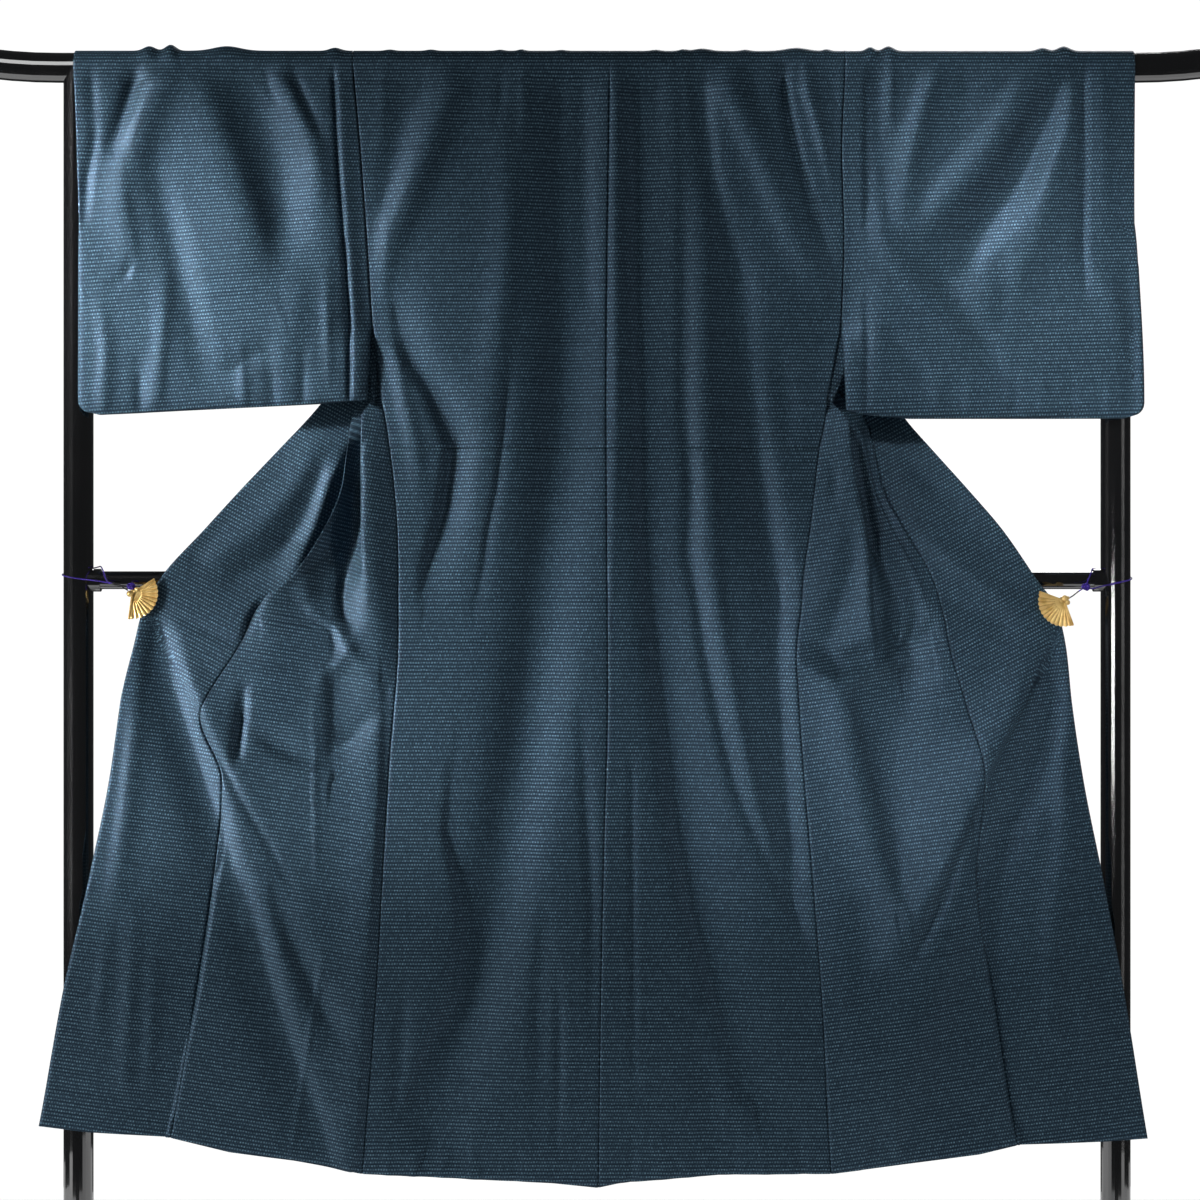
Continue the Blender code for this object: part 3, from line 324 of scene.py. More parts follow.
@dataclass(frozen=True)
class GiltMetal:
    """Bright gilt brass, with painted shade darkening the fan's grooves."""

    gold: tuple = colour(246, 212, 140)
    deep: tuple = colour(222, 178, 100)
    # the dark brown of the painted shade in the fan's grooves between its ribs
    groove_shade: tuple = colour(96, 62, 24)
    metallic: float = 0.45

    def material(self, name: str) -> bpy.types.Material:
        """Builds the gilt on Object coordinates, and the painted shade of its grooves on the fan's own layer.
        """
        recipe = Recipe(name)
        place = recipe.node("ShaderNodeTexCoord", {}, {}, "Object")
        pleat = recipe.node("ShaderNodeUVMap", {"uv_map": "Pleat"}, {}, "UV")
        cloud = recipe.noise(place, 110.0, 2.0)
        brushed = recipe.noise(place, 1400.0, 2.0)
        face = recipe.blend(cloud.eased(0.4, 0.7), self.gold, self.deep)
        # Painted shade: the fan's grooves are blended towards a dark brown, as if shade fell between the
        # ribs.
        recipe.feed(recipe.shader.inputs["Base Color"], recipe.blend(recipe.length(pleat), face, self.groove_shade))
        recipe.feed(recipe.shader.inputs["Roughness"], 0.26 + brushed * 0.10)
        recipe.bump(brushed, 0.00003, 0.3)
        recipe.set(Metallic=self.metallic)
        return recipe.material


@dataclass(frozen=True)
class PurpleCord:
    """Rayon cord of a strong blue purple, black along stretches near its ends."""

    purple: tuple = colour(70, 30, 178)
    shade: tuple = colour(34, 10, 110)
    # the colour of the stretches near the cord's ends
    black: tuple = colour(12, 11, 14)

    def material(self, name: str) -> bpy.types.Material:
        """Builds the cord's fibres on its own weave coordinates, and its black stretches on its second layer.
        """
        recipe = Recipe(name)
        place = recipe.node("ShaderNodeUVMap", {"uv_map": "Weave"}, {}, "UV")
        dark_stretch = recipe.node("ShaderNodeUVMap", {"uv_map": "Dye"}, {}, "UV")
        fibre = recipe.noise(recipe.stretched(place, (2400.0, 900.0, 1.0)), 1.0, 2.0)
        purple = recipe.blend(fibre, self.shade, self.purple)
        # The cord is black wherever its second layer marks a stretch near an end.
        recipe.feed(recipe.shader.inputs["Base Color"], recipe.blend(recipe.length(dark_stretch), purple, self.black))
        recipe.feed(recipe.shader.inputs["Roughness"], 0.42 + fibre * 0.2)
        recipe.bump(fibre, 0.00008, 0.5)
        recipe.set(Sheen_Weight=0.4, Sheen_Roughness=0.3)
        return recipe.material


@dataclass(frozen=True)
class PaleFloor:
    """A plain pale studio floor."""

    tone: tuple = colour(240, 240, 240)
    glow: float = 0.42

    def material(self, name: str) -> bpy.types.Material:
        """Builds the floor's even tone."""
        recipe = Recipe(name)
        place = recipe.node("ShaderNodeTexCoord", {}, {}, "Object")
        mottle = recipe.noise(place, 3.0)
        near = (*(0.97 * part for part in self.tone[:3]), 1.0)
        recipe.feed(recipe.shader.inputs["Base Color"], recipe.blend(mottle, self.tone, near))
        recipe.set(Roughness=0.8, Emission_Color=self.tone, Emission_Strength=self.glow)
        return recipe.material


# Forms

# Units to a metre in the tables of whole numbers
MILLIMETRES = 1000
TENTHS = 10000


def fade(value: np.ndarray) -> np.ndarray:
    """Goes smoothly from 0 to 1."""
    t = np.clip(value, 0.0, 1.0)
    return t * t * (3 - 2 * t)


def bell(distance: np.ndarray, width: float) -> np.ndarray:
    """1 at no distance, and less than half at the width."""
    return np.exp(-((distance / width) ** 2))


class Profile:
    """A smooth line through (knot, value) rows, without overshoot."""

    def __init__(self, rows: tuple) -> None:
        """Works out the line's slopes at its knots.

        Args:
            rows: the (knot, value) pairs.
        """
        table = sorted(rows)
        self.knots = np.array([row[0] for row in table])
        self.values = np.array([row[1] for row in table])
        slopes = np.diff(self.values) / np.diff(self.knots)
        both = slopes[:-1] * slopes[1:]
        total = np.where(both > 0, slopes[:-1] + slopes[1:], 1.0)
        middle = np.where(both > 0, 2 * both / total, 0.0)
        self.slopes = np.concatenate([slopes[:1], middle, slopes[-1:]])

    def __call__(self, at: np.ndarray) -> np.ndarray:
        """The line's value at each place, held past its ends."""
        at = np.clip(np.asarray(at, float), self.knots[0], self.knots[-1])
        i = np.clip(np.searchsorted(self.knots, at, side="left") - 1, 0, len(self.knots) - 2)
        span = self.knots[i + 1] - self.knots[i]
        t = (at - self.knots[i]) / span
        return (
            self.values[i] * (1 + 2 * t) * (1 - t) ** 2
            + self.values[i + 1] * t * t * (3 - 2 * t)
            + self.slopes[i] * span * t * (1 - t) ** 2
            - self.slopes[i + 1] * span * t * t * (1 - t)
        )


class Polyline:
    """A line of straight stretches through (knot, value) rows."""

    def __init__(self, rows: tuple) -> None:
        """Keeps the rows in order of their knots."""
        table = sorted(rows)
        self.knots = [row[0] for row in table]
        self.values = [row[1] for row in table]

    def __call__(self, at: np.ndarray) -> np.ndarray:
        """The line's value at each place, held past its ends."""
        return np.interp(at, self.knots, self.values)


def through(values: np.ndarray, at: np.ndarray) -> np.ndarray:
    """Reads round curves through values that are one step apart.

    Args:
        values: the curves' values, with their steps on the first axis.
        at: the step to read on each curve.

    Returns:
        The value of each curve at its step.
    """
    last = len(values) - 1
    padded = np.concatenate([2 * values[:1] - values[1:2], values, 2 * values[-1:] - values[-2:-1]])
    i = np.clip(np.floor(at).astype(int), 0, last - 1)
    t = at - i
    if values.ndim == 1:
        before, a, b, after = (padded[i + k] for k in range(4))
    else:
        before, a, b, after = (np.take_along_axis(padded, (i + k)[None], 0)[0] for k in range(4))
    bend = 2 * before - 5 * a + 4 * b - after
    twist = 3 * (a - b) + after - before
    return a + t / 2 * (b - before + t * (bend + t * twist))


@dataclass(frozen=True)
class Fold:
    """A soft ridge, or a trough where rise is negative, along a line of (x, z, strength) places."""

    line: tuple
    left: float
    right: float
    rise: float

    def depth(self, x: np.ndarray, z: np.ndarray) -> np.ndarray:
        """How far the fold carries the cloth away from the viewer of the back.

        Args:
            x: places across the rack.
            z: heights.

        Returns:
            The depth to add at each place.
        """
        nearest = np.full(np.shape(x), np.inf)
        strength, side = np.zeros(np.shape(x)), np.zeros(np.shape(x))
        for (ax, az, first), (bx, bz, second) in zip(self.line, self.line[1:]):
            run_x, run_z = bx - ax, bz - az
            t = np.clip(((x - ax) * run_x + (z - az) * run_z) / (run_x**2 + run_z**2), 0, 1)
            far = np.hypot(x - ax - t * run_x, z - az - t * run_z)
            nearer = far < nearest
            nearest = np.where(nearer, far, nearest)
            strength = np.where(nearer, first + (second - first) * t, strength)
            side = np.where(nearer, run_x * (z - az) - run_z * (x - ax), side)
        width = np.where(side > 0, self.right, self.left)
        return -self.rise * strength * bell(nearest, width)


def crease(left: int, right: int, rise: int, *places: tuple) -> Fold:
    """A fold from whole numbers, whose widths and rise are in tenths of a millimetre.

    Args:
        left: its width on the left of its line.
        right: its width on the right of its line.
        rise: its height, or less than 0 for a trough.
        *places: (x, z) in millimetres, with a strength after them where it isn't 1.

    Returns:
        The fold.
    """
    line = tuple((x / MILLIMETRES, z / MILLIMETRES, *(strength or (1,))) for x, z, *strength in places)
    return Fold(line, left / TENTHS, right / TENTHS, rise / TENTHS)


def folded(folds: tuple, x: np.ndarray, z: np.ndarray) -> np.ndarray:
    """The depth that all the folds add."""
    depth = np.zeros(np.shape(x))
    for fold in folds:
        depth += fold.depth(x, z)
    return depth


@dataclass(frozen=True)
class Section:
    """One level section of a front: where its lines run at this height."""

    height: float
    side: float
    roll: float
    hollow: float
    ridge: float
    seam: float
    edge: float

    def values(self) -> tuple:
        """The six lines' values, from the side seam to the free edge."""
        return (self.side, self.roll, self.hollow, self.ridge, self.seam, self.edge)


def sections(units: int, *rows: tuple) -> tuple:
    """Sections from whole numbers, each with its height in millimetres first.

    Args:
        units: how many of the other numbers' units make a metre.
        *rows: one row for each section, from the top down.

    Returns:
        The sections.
    """
    return tuple(Section(height / MILLIMETRES, *(value / units for value in row)) for height, *row in rows)


# The cloth's shared sizes
WALL = 0.0012
SEAM = -0.0002
SEAM_DIP = 0.0028
SEAM_REACH = 0.0013
COLLAR_CLEAR = 0.0008
ARMHOLE_GAP = 0.0007
SLEEVE_ROUND = 0.012
FRONT_TOP = 1.655
BACK_TOP = 1.650
HEM_ROW = 0.240
HEM_BLEND = 0.62
ARMHOLE_BOTTOM = 1.346
SIDE_SEAM_TOP = 1.219
ROD_FADE_TOP = 1.672
ROD_FADE = 0.018
BACK_EDGE_BLEND = 0.085
SLEEVE_EDGE_BLEND = 0.055
POST_BLEND = 0.060
POST_CLEAR = 0.007
EDGE_FADE = 0.030
FOLDS_TOP = 1.330
FOLDS_FADE = 0.060
ROD_HEIGHT = 1.677
POST_X = 0.682
POST_RADIUS = 0.0195
OVER_RADIUS = 0.0216
QUARTER = math.pi * OVER_RADIUS / 2
NECK = {Hand.LEFT: -0.068, Hand.RIGHT: 0.102}
CLOTH_AT_CLIP = -0.0268
TINY = 1e-6
NEAR_EDGE = (0.0006, 0.0013, 0.0022, 0.0034)

# The lines of a front, by number
SIDE_SEAM, FRONT_SEAM, FREE_EDGE = 0, 4, 5

# Depths that both fronts share at the top and near the hem
UPPER_DEPTH_ROWS = (
    (1663, 213, 213, 213, 213, 213, 213),
    (1565, 190, 210, 215, 220, 310, 310),
    (1454, 90, 160, 200, 240, 330, 330),
    (1346, -100, -60, 80, 200, 300, 310),
    (1291, -135, -100, 80, 200, 260, 280),
)
LOWER_DEPTH_ROWS = (
    (611, -260, -280, -290, -290, -290, -290),
    (454, -260, -270, -280, -280, -280, -280),
    (240, -250, -270, -280, -280, -280, -280),
)

# Left front: places across, from the side seam to the free edge
LEFT_ACROSS = sections(
    MILLIMETRES,
    (1663, -319, -290, -218, -140, -70, -70),
    (1565, -310, -278, -195, -111, -127, -127),
    (1454, -302, -278, -199, -129, -192, -192),
    (1346, -295, -286, -205, -156, -234, -269),
    (1291, -288, -282, -190, -218, -264, -316),
    (1252, -284, -281, -209, -277, -286, -352),
    (1219, -278, -305, -225, -319, -294, -379),
    (1173, -271, -308, -292, -327, -307, -421),
    (1121, -265, -307, -297, -335, -319, -469),
    (1069, -261, -305, -304, -356, -339, -515),
    (1010, -260, -299, -329, -393, -382, -567),
    (969, -260, -294, -342, -434, -443, -592),
    (918, -260, -291, -349, -420, -467, -605),
    (847, -264, -302, -365, -438, -511, -622),
    (826, -266, -306, -368, -441, -519, -625),
    (742, -273, -323, -388, -454, -490, -637),
    (611, -281, -333, -388, -440, -503, -664),
    (454, -290, -349, -408, -464, -525, -698),
    (240, -307, -369, -427, -490, -557, -729),
)

# Left front: depths, where less is nearer the viewer of the back
LEFT_DEPTH = sections(
    TENTHS,
    *UPPER_DEPTH_ROWS,
    (1252, -170, -130, 70, 110, 200, 220),
    (1219, -230, -260, 60, -20, 140, 150),
    (1173, -260, -340, 40, -230, 60, 50),
    (1121, -280, -390, 0, -290, 0, -40),
    (1069, -300, -420, -60, -360, -90, -140),
    (1010, -300, -420, -210, -390, -200, -260),
    (969, -300, -400, -250, -370, -280, -270),
    (918, -290, -360, -290, -340, -310, -275),
    (847, -280, -310, -290, -330, -320, -280),
    (826, -278, -306, -290, -324, -318, -281),
    (742, -270, -290, -290, -300, -310, -285),
    *LOWER_DEPTH_ROWS,
)

# Right front: places across
RIGHT_ACROSS = sections(
    MILLIMETRES,
    (1663, 324, 294, 220, 146, 104, 104),
    (1565, 320, 291, 213, 140, 154, 154),
    (1454, 323, 299, 223, 159, 221, 221),
    (1346, 320, 312, 233, 184, 265, 301),
    (1291, 312, 306, 220, 239, 294, 346),
    (1245, 302, 298, 239, 299, 325, 387),
    (1212, 298, 326, 259, 332, 356, 410),
    (1173, 290, 332, 281, 346, 366, 443),
    (1121, 284, 340, 311, 361, 378, 488),
    (1069, 278, 348, 341, 383, 404, 531),
    (1003, 269, 352, 383, 416, 440, 575),
    (969, 267, 354, 400, 427, 450, 599),
    (912, 261, 354, 400, 435, 461, 613),
    (844, 264, 331, 396, 442, 481, 620),
    (742, 271, 331, 389, 448, 505, 635),
    (611, 282, 337, 389, 442, 495, 661),
    (454, 294, 350, 403, 461, 519, 689),
    (240, 306, 370, 429, 488, 549, 719),
)

# Right front: depths
RIGHT_DEPTH = sections(
    TENTHS,
    *UPPER_DEPTH_ROWS,
    (1245, -170, -130, 70, 100, 190, 210),
    (1212, -230, -270, 60, 0, 120, 140),
    (1173, -260, -340, 40, -60, 60, 50),
    (1121, -280, -390, 0, -120, -40, -60),
    (1069, -300, -430, -90, -190, -140, -160),
    (1003, -300, -430, -190, -260, -240, -260),
    (969, -300, -410, -210, -280, -280, -270),
    (912, -290, -380, -240, -290, -310, -275),
    (844, -280, -320, -270, -310, -320, -280),
    (742, -270, -290, -280, -300, -310, -285),
    *LOWER_DEPTH_ROWS,
)

# The fold that runs from each clip to the front seam, where the strip's weave turns
TURN_LINE = {
    Hand.LEFT: ((-0.576, 0.937), (-0.516, 0.827)),
    Hand.RIGHT: ((0.602, 0.930), (0.520, 0.770)),
}

# The hem as (x, z), the centre seam as (z, x), and the back's depths as (z, y)
HEM_LINE = Polyline((
    (-0.729, 0.290), (-0.664, 0.282), (-0.558, 0.275), (-0.480, 0.256), (-0.397, 0.245),
    (-0.307, 0.227), (-0.058, 0.215), (0.001, 0.209), (0.029, 0.215), (0.159, 0.226),
    (0.306, 0.227), (0.399, 0.240), (0.499, 0.253), (0.549, 0.265), (0.665, 0.270), (0.719, 0.274),
))
CENTRE_SEAM = Profile((
    (1.698, 0.017), (1.239, 0.012), (0.847, 0.014), (0.650, 0.009), (0.417, 0.004), (0.200, 0.001),
))
BACK_DEPTH = Profile((
    (1.677, -0.0213), (1.500, -0.0230), (1.300, -0.0260), (1.100, -0.0290),
    (1.000, -0.0300), (0.800, -0.0290), (0.500, -0.0270), (0.200, -0.0250),
))
BACK_EDGE_DEPTH = Profile((
    (1.677, -0.0213), (1.565, -0.0215), (1.454, -0.0205), (1.346, -0.0145),
    (1.291, -0.0172), (1.252, -0.0203), (1.219, -0.0230),
))

# Folds of the back
BACK_FOLDS = (
    crease(379, 497, -200, (-35, 1688, 0.4), (-38, 1618, 0.7), (-38, 1465, 0.9), (-38, 1330), (-42, 1228),
           (-48, 1152), (-58, 1075, 0.92), (-68, 998, 0.84), (-77, 921, 0.9), (-88, 844), (-99, 768),
           (-116, 691), (-128, 614), (-139, 537), (-156, 460, 0.95), (-186, 383, 0.85), (-214, 307, 0.6)),
    crease(39, 91, -35, (-116, 1267, 0.5), (-124, 1190), (-132, 1121), (-142, 1075), (-150, 1014, 0.8),
           (-162, 960, 0.4)),
    crease(235, 209, 100, (-174, 1692, 0.5), (-195, 1639), (-226, 1552), (-264, 1465, 0.9),
           (-293, 1394, 0.6)),
    crease(157, 157, -50, (-244, 1683, 0.3), (-257, 1592, 0.8), (-278, 1500, 0.6)),
    crease(209, 183, 60, (-127, 1605, 0.3), (-116, 1500, 0.8), (-122, 1382), (-135, 1278, 0.8),
           (-148, 1173, 0.3)),
    crease(105, 288, -130, (-261, 1337, 0.4), (-243, 1290, 0.8), (-217, 1252), (-205, 1220), (-187, 1182),
           (-190, 1152), (-199, 1090), (-218, 1022, 0.7), (-226, 977, 0.2)),
    crease(131, 105, 50, (-268, 1304, 0.6), (-251, 1239), (-237, 1180, 0.8), (-229, 1108, 0.3)),
    crease(105, 131, -40, (-18, 1683, 0.6), (-16, 1500, 0.8), (-13, 1369, 0.5)),
    crease(65, 52, 30, (25, 1686), (26, 1369), (26, 1212, 0.8), (21, 977, 0.4)),
    crease(183, 444, -130, (56, 1688, 0.8), (58, 1539), (59, 1382), (63, 1267), (65, 1152), (67, 1075),
           (72, 998), (81, 921), (90, 844), (99, 768), (111, 675), (129, 575), (152, 499, 0.9),
           (173, 422, 0.8), (196, 345, 0.5)),
    crease(91, 144, -55, (112, 1683, 0.3), (114, 1500, 0.5), (114, 1382, 0.7), (114, 1228, 0.8),
           (122, 1129), (119, 1036), (131, 982), (142, 905), (162, 814), (184, 729), (212, 660),
           (238, 606), (273, 546, 0.8)),
    crease(183, 118, 60, (140, 1500, 0.3), (142, 1369, 0.6), (145, 1173, 0.8), (156, 977), (179, 847),
           (205, 716), (239, 611, 0.7)),
    crease(288, 196, -140, (184, 1461, 0.3), (188, 1382, 0.6), (200, 1267, 0.8), (209, 1167), (222, 1075),
           (235, 998), (244, 921), (251, 844), (256, 768), (263, 691, 0.9), (269, 614, 0.6),
           (276, 552, 0.2)),
    crease(39, 46, -32, (46, 765, 0.5), (46, 664), (47, 454), (48, 337, 0.5)),
    crease(209, 118, -80, (137, 1675, 0.5), (140, 1618), (150, 1539), (174, 1448, 0.6), (200, 1369, 0.2)),
    crease(183, 209, 120, (150, 1686, 0.7), (171, 1652, 0.9), (188, 1615), (217, 1552), (244, 1487),
           (273, 1424, 0.9), (302, 1382, 0.6)),
    crease(91, 78, -140, (240, 1691), (247, 1622), (260, 1559, 0.9), (281, 1492, 0.7), (305, 1435, 0.3)),
    crease(65, 118, 90, (259, 1691, 0.9), (271, 1654), (291, 1586), (311, 1520, 0.5)),
    crease(209, 131, -60, (234, 1330, 0.2), (247, 1252), (250, 1199, 0.6)),
    crease(52, 52, -40, (252, 1030, 0.5), (259, 977), (254, 912, 0.5)),
    crease(78, 340, -80, (-187, 768, 0.2), (-195, 675, 0.8), (-180, 614), (-175, 537), (-183, 460, 0.9),
           (-209, 414, 0.8), (-242, 345, 0.5)),
    crease(91, 170, -45, (-67, 575, 0.3), (-73, 507, 0.8), (-77, 441), (-78, 376, 0.8), (-80, 311, 0.3)),
    crease(46, 65, -35, (-52, 507, 0.3), (-50, 428), (-50, 363), (-54, 285, 0.6)),
    crease(65, 105, -45, (-22, 847, 0.2), (-16, 729, 0.8), (-12, 650), (-8, 585), (-7, 520, 0.7),
           (-7, 428, 0.3)),
    crease(105, 105, -45, (-251, 467, 0.3), (-256, 402), (-263, 324, 0.6)),
    crease(235, 183, -40, (135, 454, 0.3), (142, 376), (156, 285, 0.6)),
    crease(78, 65, -30, (-127, 1691), (-124, 1644, 0.7), (-131, 1592, 0.2)),
    crease(65, 78, 30, (-99, 1691), (-95, 1631, 0.6), (-98, 1565, 0.2)),
    crease(65, 65, -26, (-46, 1691), (-48, 1618, 0.5), (-54, 1552, 0.1)),
    crease(65, 91, -30, (-218, 1691), (-229, 1652, 0.6), (-242, 1618, 0.2)),
    crease(78, 78, -26, (76, 1691), (78, 1631, 0.5), (82, 1565, 0.1)),
    crease(78, 65, 30, (114, 1691), (116, 1649, 0.7), (122, 1592, 0.2)),
    crease(65, 78, -34, (195, 1691), (203, 1652, 0.6), (213, 1610, 0.2)),
    crease(65, 65, -36, (302, 1691, 0.9), (310, 1652, 0.8), (318, 1592, 0.2)),
    crease(78, 78, 30, (-277, 1688, 0.9), (-281, 1631, 0.5), (-286, 1565, 0.1)),
    crease(65, 78, 26, (-273, 271, 0.2), (-273, 224)),
    crease(78, 65, 30, (-239, 277, 0.2), (-239, 222)),
    crease(78, 78, 26, (-201, 285, 0.2), (-203, 222)),
    crease(91, 78, 28, (-161, 298, 0.2), (-162, 222)),
    crease(91, 65, -26, (-105, 285, 0.2), (-106, 219)),
    crease(39, 65, -40, (48, 298, 0.3), (41, 219)),
    crease(105, 105, 24, (85, 298, 0.2), (88, 219)),
    crease(78, 78, 24, (119, 271, 0.2), (120, 219)),
    crease(78, 91, -26, (180, 271, 0.2), (182, 222)),
    crease(78, 78, 24, (220, 277, 0.2), (221, 224)),
    crease(65, 91, -30, (257, 311, 0.2), (273, 224)),
)

# Folds of the fronts and their strips below the armholes
FRONT_FOLDS = (
    crease(353, 183, -150, (-582, 948, 0.5), (-571, 925, 0.7), (-559, 873, 0.9), (-541, 814), (-519, 749),
           (-501, 692, 0.9), (-485, 644, 0.6), (-472, 585, 0.2)),
    crease(34, 52, -32, (-569, 938, 0.5), (-545, 879), (-523, 827), (-493, 768), (-467, 716), (-434, 664),
           (-399, 601, 0.5)),
    crease(91, 183, 50, (-555, 925, 0.1), (-532, 870, 0.7), (-506, 820, 0.9), (-477, 765, 0.6),
           (-448, 716, 0.3)),
    crease(523, 39, -70, (-490, 650, 0.2), (-503, 598), (-514, 528), (-525, 454), (-542, 367), (-557, 275)),
    crease(91, 65, -90, (-461, 860, 0.5), (-463, 820), (-469, 773, 0.7)),
    crease(366, 170, -130, (-467, 611, 0.3), (-446, 533), (-425, 454), (-399, 376, 0.9), (-367, 298, 0.6),
           (-349, 245, 0.3)),
    crease(91, 209, -80, (-420, 585, 0.4), (-396, 520), (-370, 458), (-346, 415, 0.4)),
    crease(118, 471, -80, (-346, 899, 0.3), (-342, 860), (-341, 807), (-346, 762, 0.5)),
    crease(105, 183, -70, (-447, 805, 0.3), (-421, 788), (-392, 772), (-365, 768), (-333, 781),
           (-305, 810, 0.8), (-278, 849, 0.4)),
    crease(33, 52, 18, (-371, 847, 0.5), (-369, 729), (-367, 611, 0.6)),
    crease(288, 65, 60, (-284, 860, 0.5), (-288, 716), (-297, 559), (-307, 402), (-318, 258)),
    crease(105, 105, 36, (-605, 585, 0.3), (-610, 454), (-616, 324, 0.8)),
    crease(78, 91, 34, (-578, 507, 0.3), (-583, 402), (-587, 324, 0.5)),
    crease(78, 78, 30, (-639, 546, 0.3), (-646, 467), (-655, 389, 0.4)),
    crease(131, 157, 50, (-605, 886, 0.4), (-608, 794), (-616, 690), (-631, 585, 0.5)),
    crease(42, 59, -40, (-566, 965, 0.5), (-542, 952), (-512, 938), (-471, 918)),
    crease(183, 157, 70, (-365, 1186, 0.3), (-401, 1118), (-443, 1071), (-493, 1035, 0.7)),
    crease(131, 183, -65, (-358, 1147, 0.4), (-380, 1082), (-420, 1035), (-472, 1006, 0.6)),
    crease(105, 131, -35, (-467, 1147, 0.2), (-498, 1082), (-524, 1035, 0.4)),
    crease(39, 39, 20, (-357, 520, 0.4), (-370, 441), (-386, 337), (-399, 248, 0.8)),
    crease(314, 118, 120, (584, 912, 0.3), (553, 847), (524, 788), (494, 716), (461, 653), (422, 579, 0.9),
           (383, 507, 0.5)),
    crease(39, 52, -40, (595, 912, 0.5), (566, 847), (533, 794), (503, 729), (481, 670), (448, 585),
           (416, 513, 0.5)),
    crease(314, 183, -150, (613, 912, 0.3), (603, 847, 0.9), (589, 794), (563, 729), (537, 674, 0.7),
           (519, 624, 0.2)),
    crease(654, 444, 150, (503, 752, 0.3), (477, 650), (444, 533), (406, 409), (375, 324, 0.7)),
    crease(34, 52, -26, (474, 650, 0.4), (446, 579), (404, 496, 0.5)),
    crease(39, 444, -60, (490, 667, 0.6), (502, 585), (521, 428), (537, 317), (546, 271)),
    crease(340, 118, 80, (318, 860, 0.4), (327, 831), (349, 749), (371, 650), (386, 579, 0.5)),
    crease(183, 523, -70, (346, 847, 0.4), (362, 755), (383, 670), (399, 598, 0.4)),
    crease(209, 235, 40, (315, 585, 0.3), (325, 481), (339, 376, 0.6)),
    crease(105, 157, 45, (592, 637, 0.2), (592, 533), (595, 402, 0.7)),
    crease(131, 183, 50, (608, 847, 0.2), (613, 742), (608, 637), (605, 546, 0.4)),
    crease(91, 105, 40, (637, 494, 0.3), (638, 428), (639, 363, 0.4)),
    crease(52, 65, 26, (388, 350, 0.3), (389, 258)),
    crease(91, 105, 90, (263, 894, 0.6), (312, 862), (354, 883), (396, 905, 0.6)),
    crease(118, 91, -90, (281, 925, 0.4), (318, 894), (352, 905), (386, 925, 0.6)),
    crease(131, 340, -180, (344, 1179, 0.4), (357, 1108), (369, 1061, 0.8), (376, 1027, 0.25),
           (382, 977, 0.2), (388, 933, 0.7), (393, 894, 0.4)),
    crease(105, 39, 60, (333, 1186, 0.4), (344, 1108, 0.9), (352, 1030), (354, 964), (362, 912, 0.7)),
    crease(157, 209, -60, (341, 1082, 0.3), (331, 1016), (315, 964), (299, 918, 0.6)),
    crease(157, 118, -50, (375, 1030, 0.4), (391, 977), (401, 925), (412, 894, 0.4)),
    crease(78, 91, 60, (403, 905, 0.5), (416, 941), (440, 962, 0.8), (459, 925, 0.3)),
    crease(52, 52, -50, (308, 1152, 0.3), (311, 1129), (310, 1100, 0.3)),
    crease(131, 209, 70, (412, 1069, 0.3), (464, 1030), (511, 993), (558, 964, 0.6)),
    crease(157, 131, -50, (435, 990, 0.3), (474, 969), (527, 948, 0.8)),
    crease(157, 131, -40, (396, 1173, 0.2), (435, 1134), (488, 1088, 0.7)),
    crease(131, 105, -210, (-322, 1179, 0.3), (-320, 1126), (-323, 1071, 0.8), (-328, 1027, 0.2)),
    crease(157, 78, 90, (-331, 1175, 0.2), (-345, 1147, 0.9), (-361, 1108), (-375, 1069),
           (-391, 1030, 0.8), (-412, 990, 0.3)),
    crease(118, 170, -120, (-339, 1124, 0.5), (-346, 1077), (-354, 1035, 0.4)),
    crease(105, 105, 60, (-388, 1030, 0.4), (-380, 990), (-365, 956, 0.6)),
    crease(78, 91, -80, (-323, 1030, 0.3), (-333, 990), (-331, 948, 0.8)),
    crease(78, 78, 70, (-346, 962, 0.4), (-331, 925), (-312, 899, 0.5)),
    crease(105, 91, 60, (-349, 1147, 0.3), (-354, 1108), (-367, 1069, 0.6)),
    crease(52, 65, -80, (-438, 977, 0.6), (-454, 951), (-461, 925, 0.4)),
    crease(52, 118, -60, (-430, 935, 0.5), (-401, 948), (-372, 967, 0.4)),
    crease(91, 105, 60, (-315, 925, 0.4), (-336, 896), (-362, 875, 0.6)),
)

# Folds of the fronts above the armholes, seen from the far side
UPPER_FOLDS = (
    crease(100, 140, -40, (-262, 1650, 0.5), (-258, 1560), (-247, 1450, 0.9), (-240, 1350, 0.6)),
    crease(120, 90, 36, (-215, 1640, 0.4), (-222, 1540), (-232, 1430), (-252, 1330, 0.7)),
    crease(90, 120, -32, (-160, 1655, 0.4), (-172, 1580), (-190, 1480, 0.8), (-216, 1390, 0.5)),
    crease(70, 100, 26, (-120, 1650, 0.4), (-135, 1600), (-158, 1530, 0.6)),
    crease(130, 100, -40, (270, 1650, 0.5), (276, 1570), (268, 1470), (262, 1360, 0.6)),
    crease(90, 120, 32, (232, 1655, 0.4), (226, 1560, 0.9), (238, 1450), (258, 1350, 0.6)),
    crease(110, 80, -34, (178, 1650, 0.5), (190, 1560), (214, 1460, 0.7)),
    crease(70, 90, 24, (150, 1645, 0.4), (160, 1590), (180, 1520, 0.5)),
)


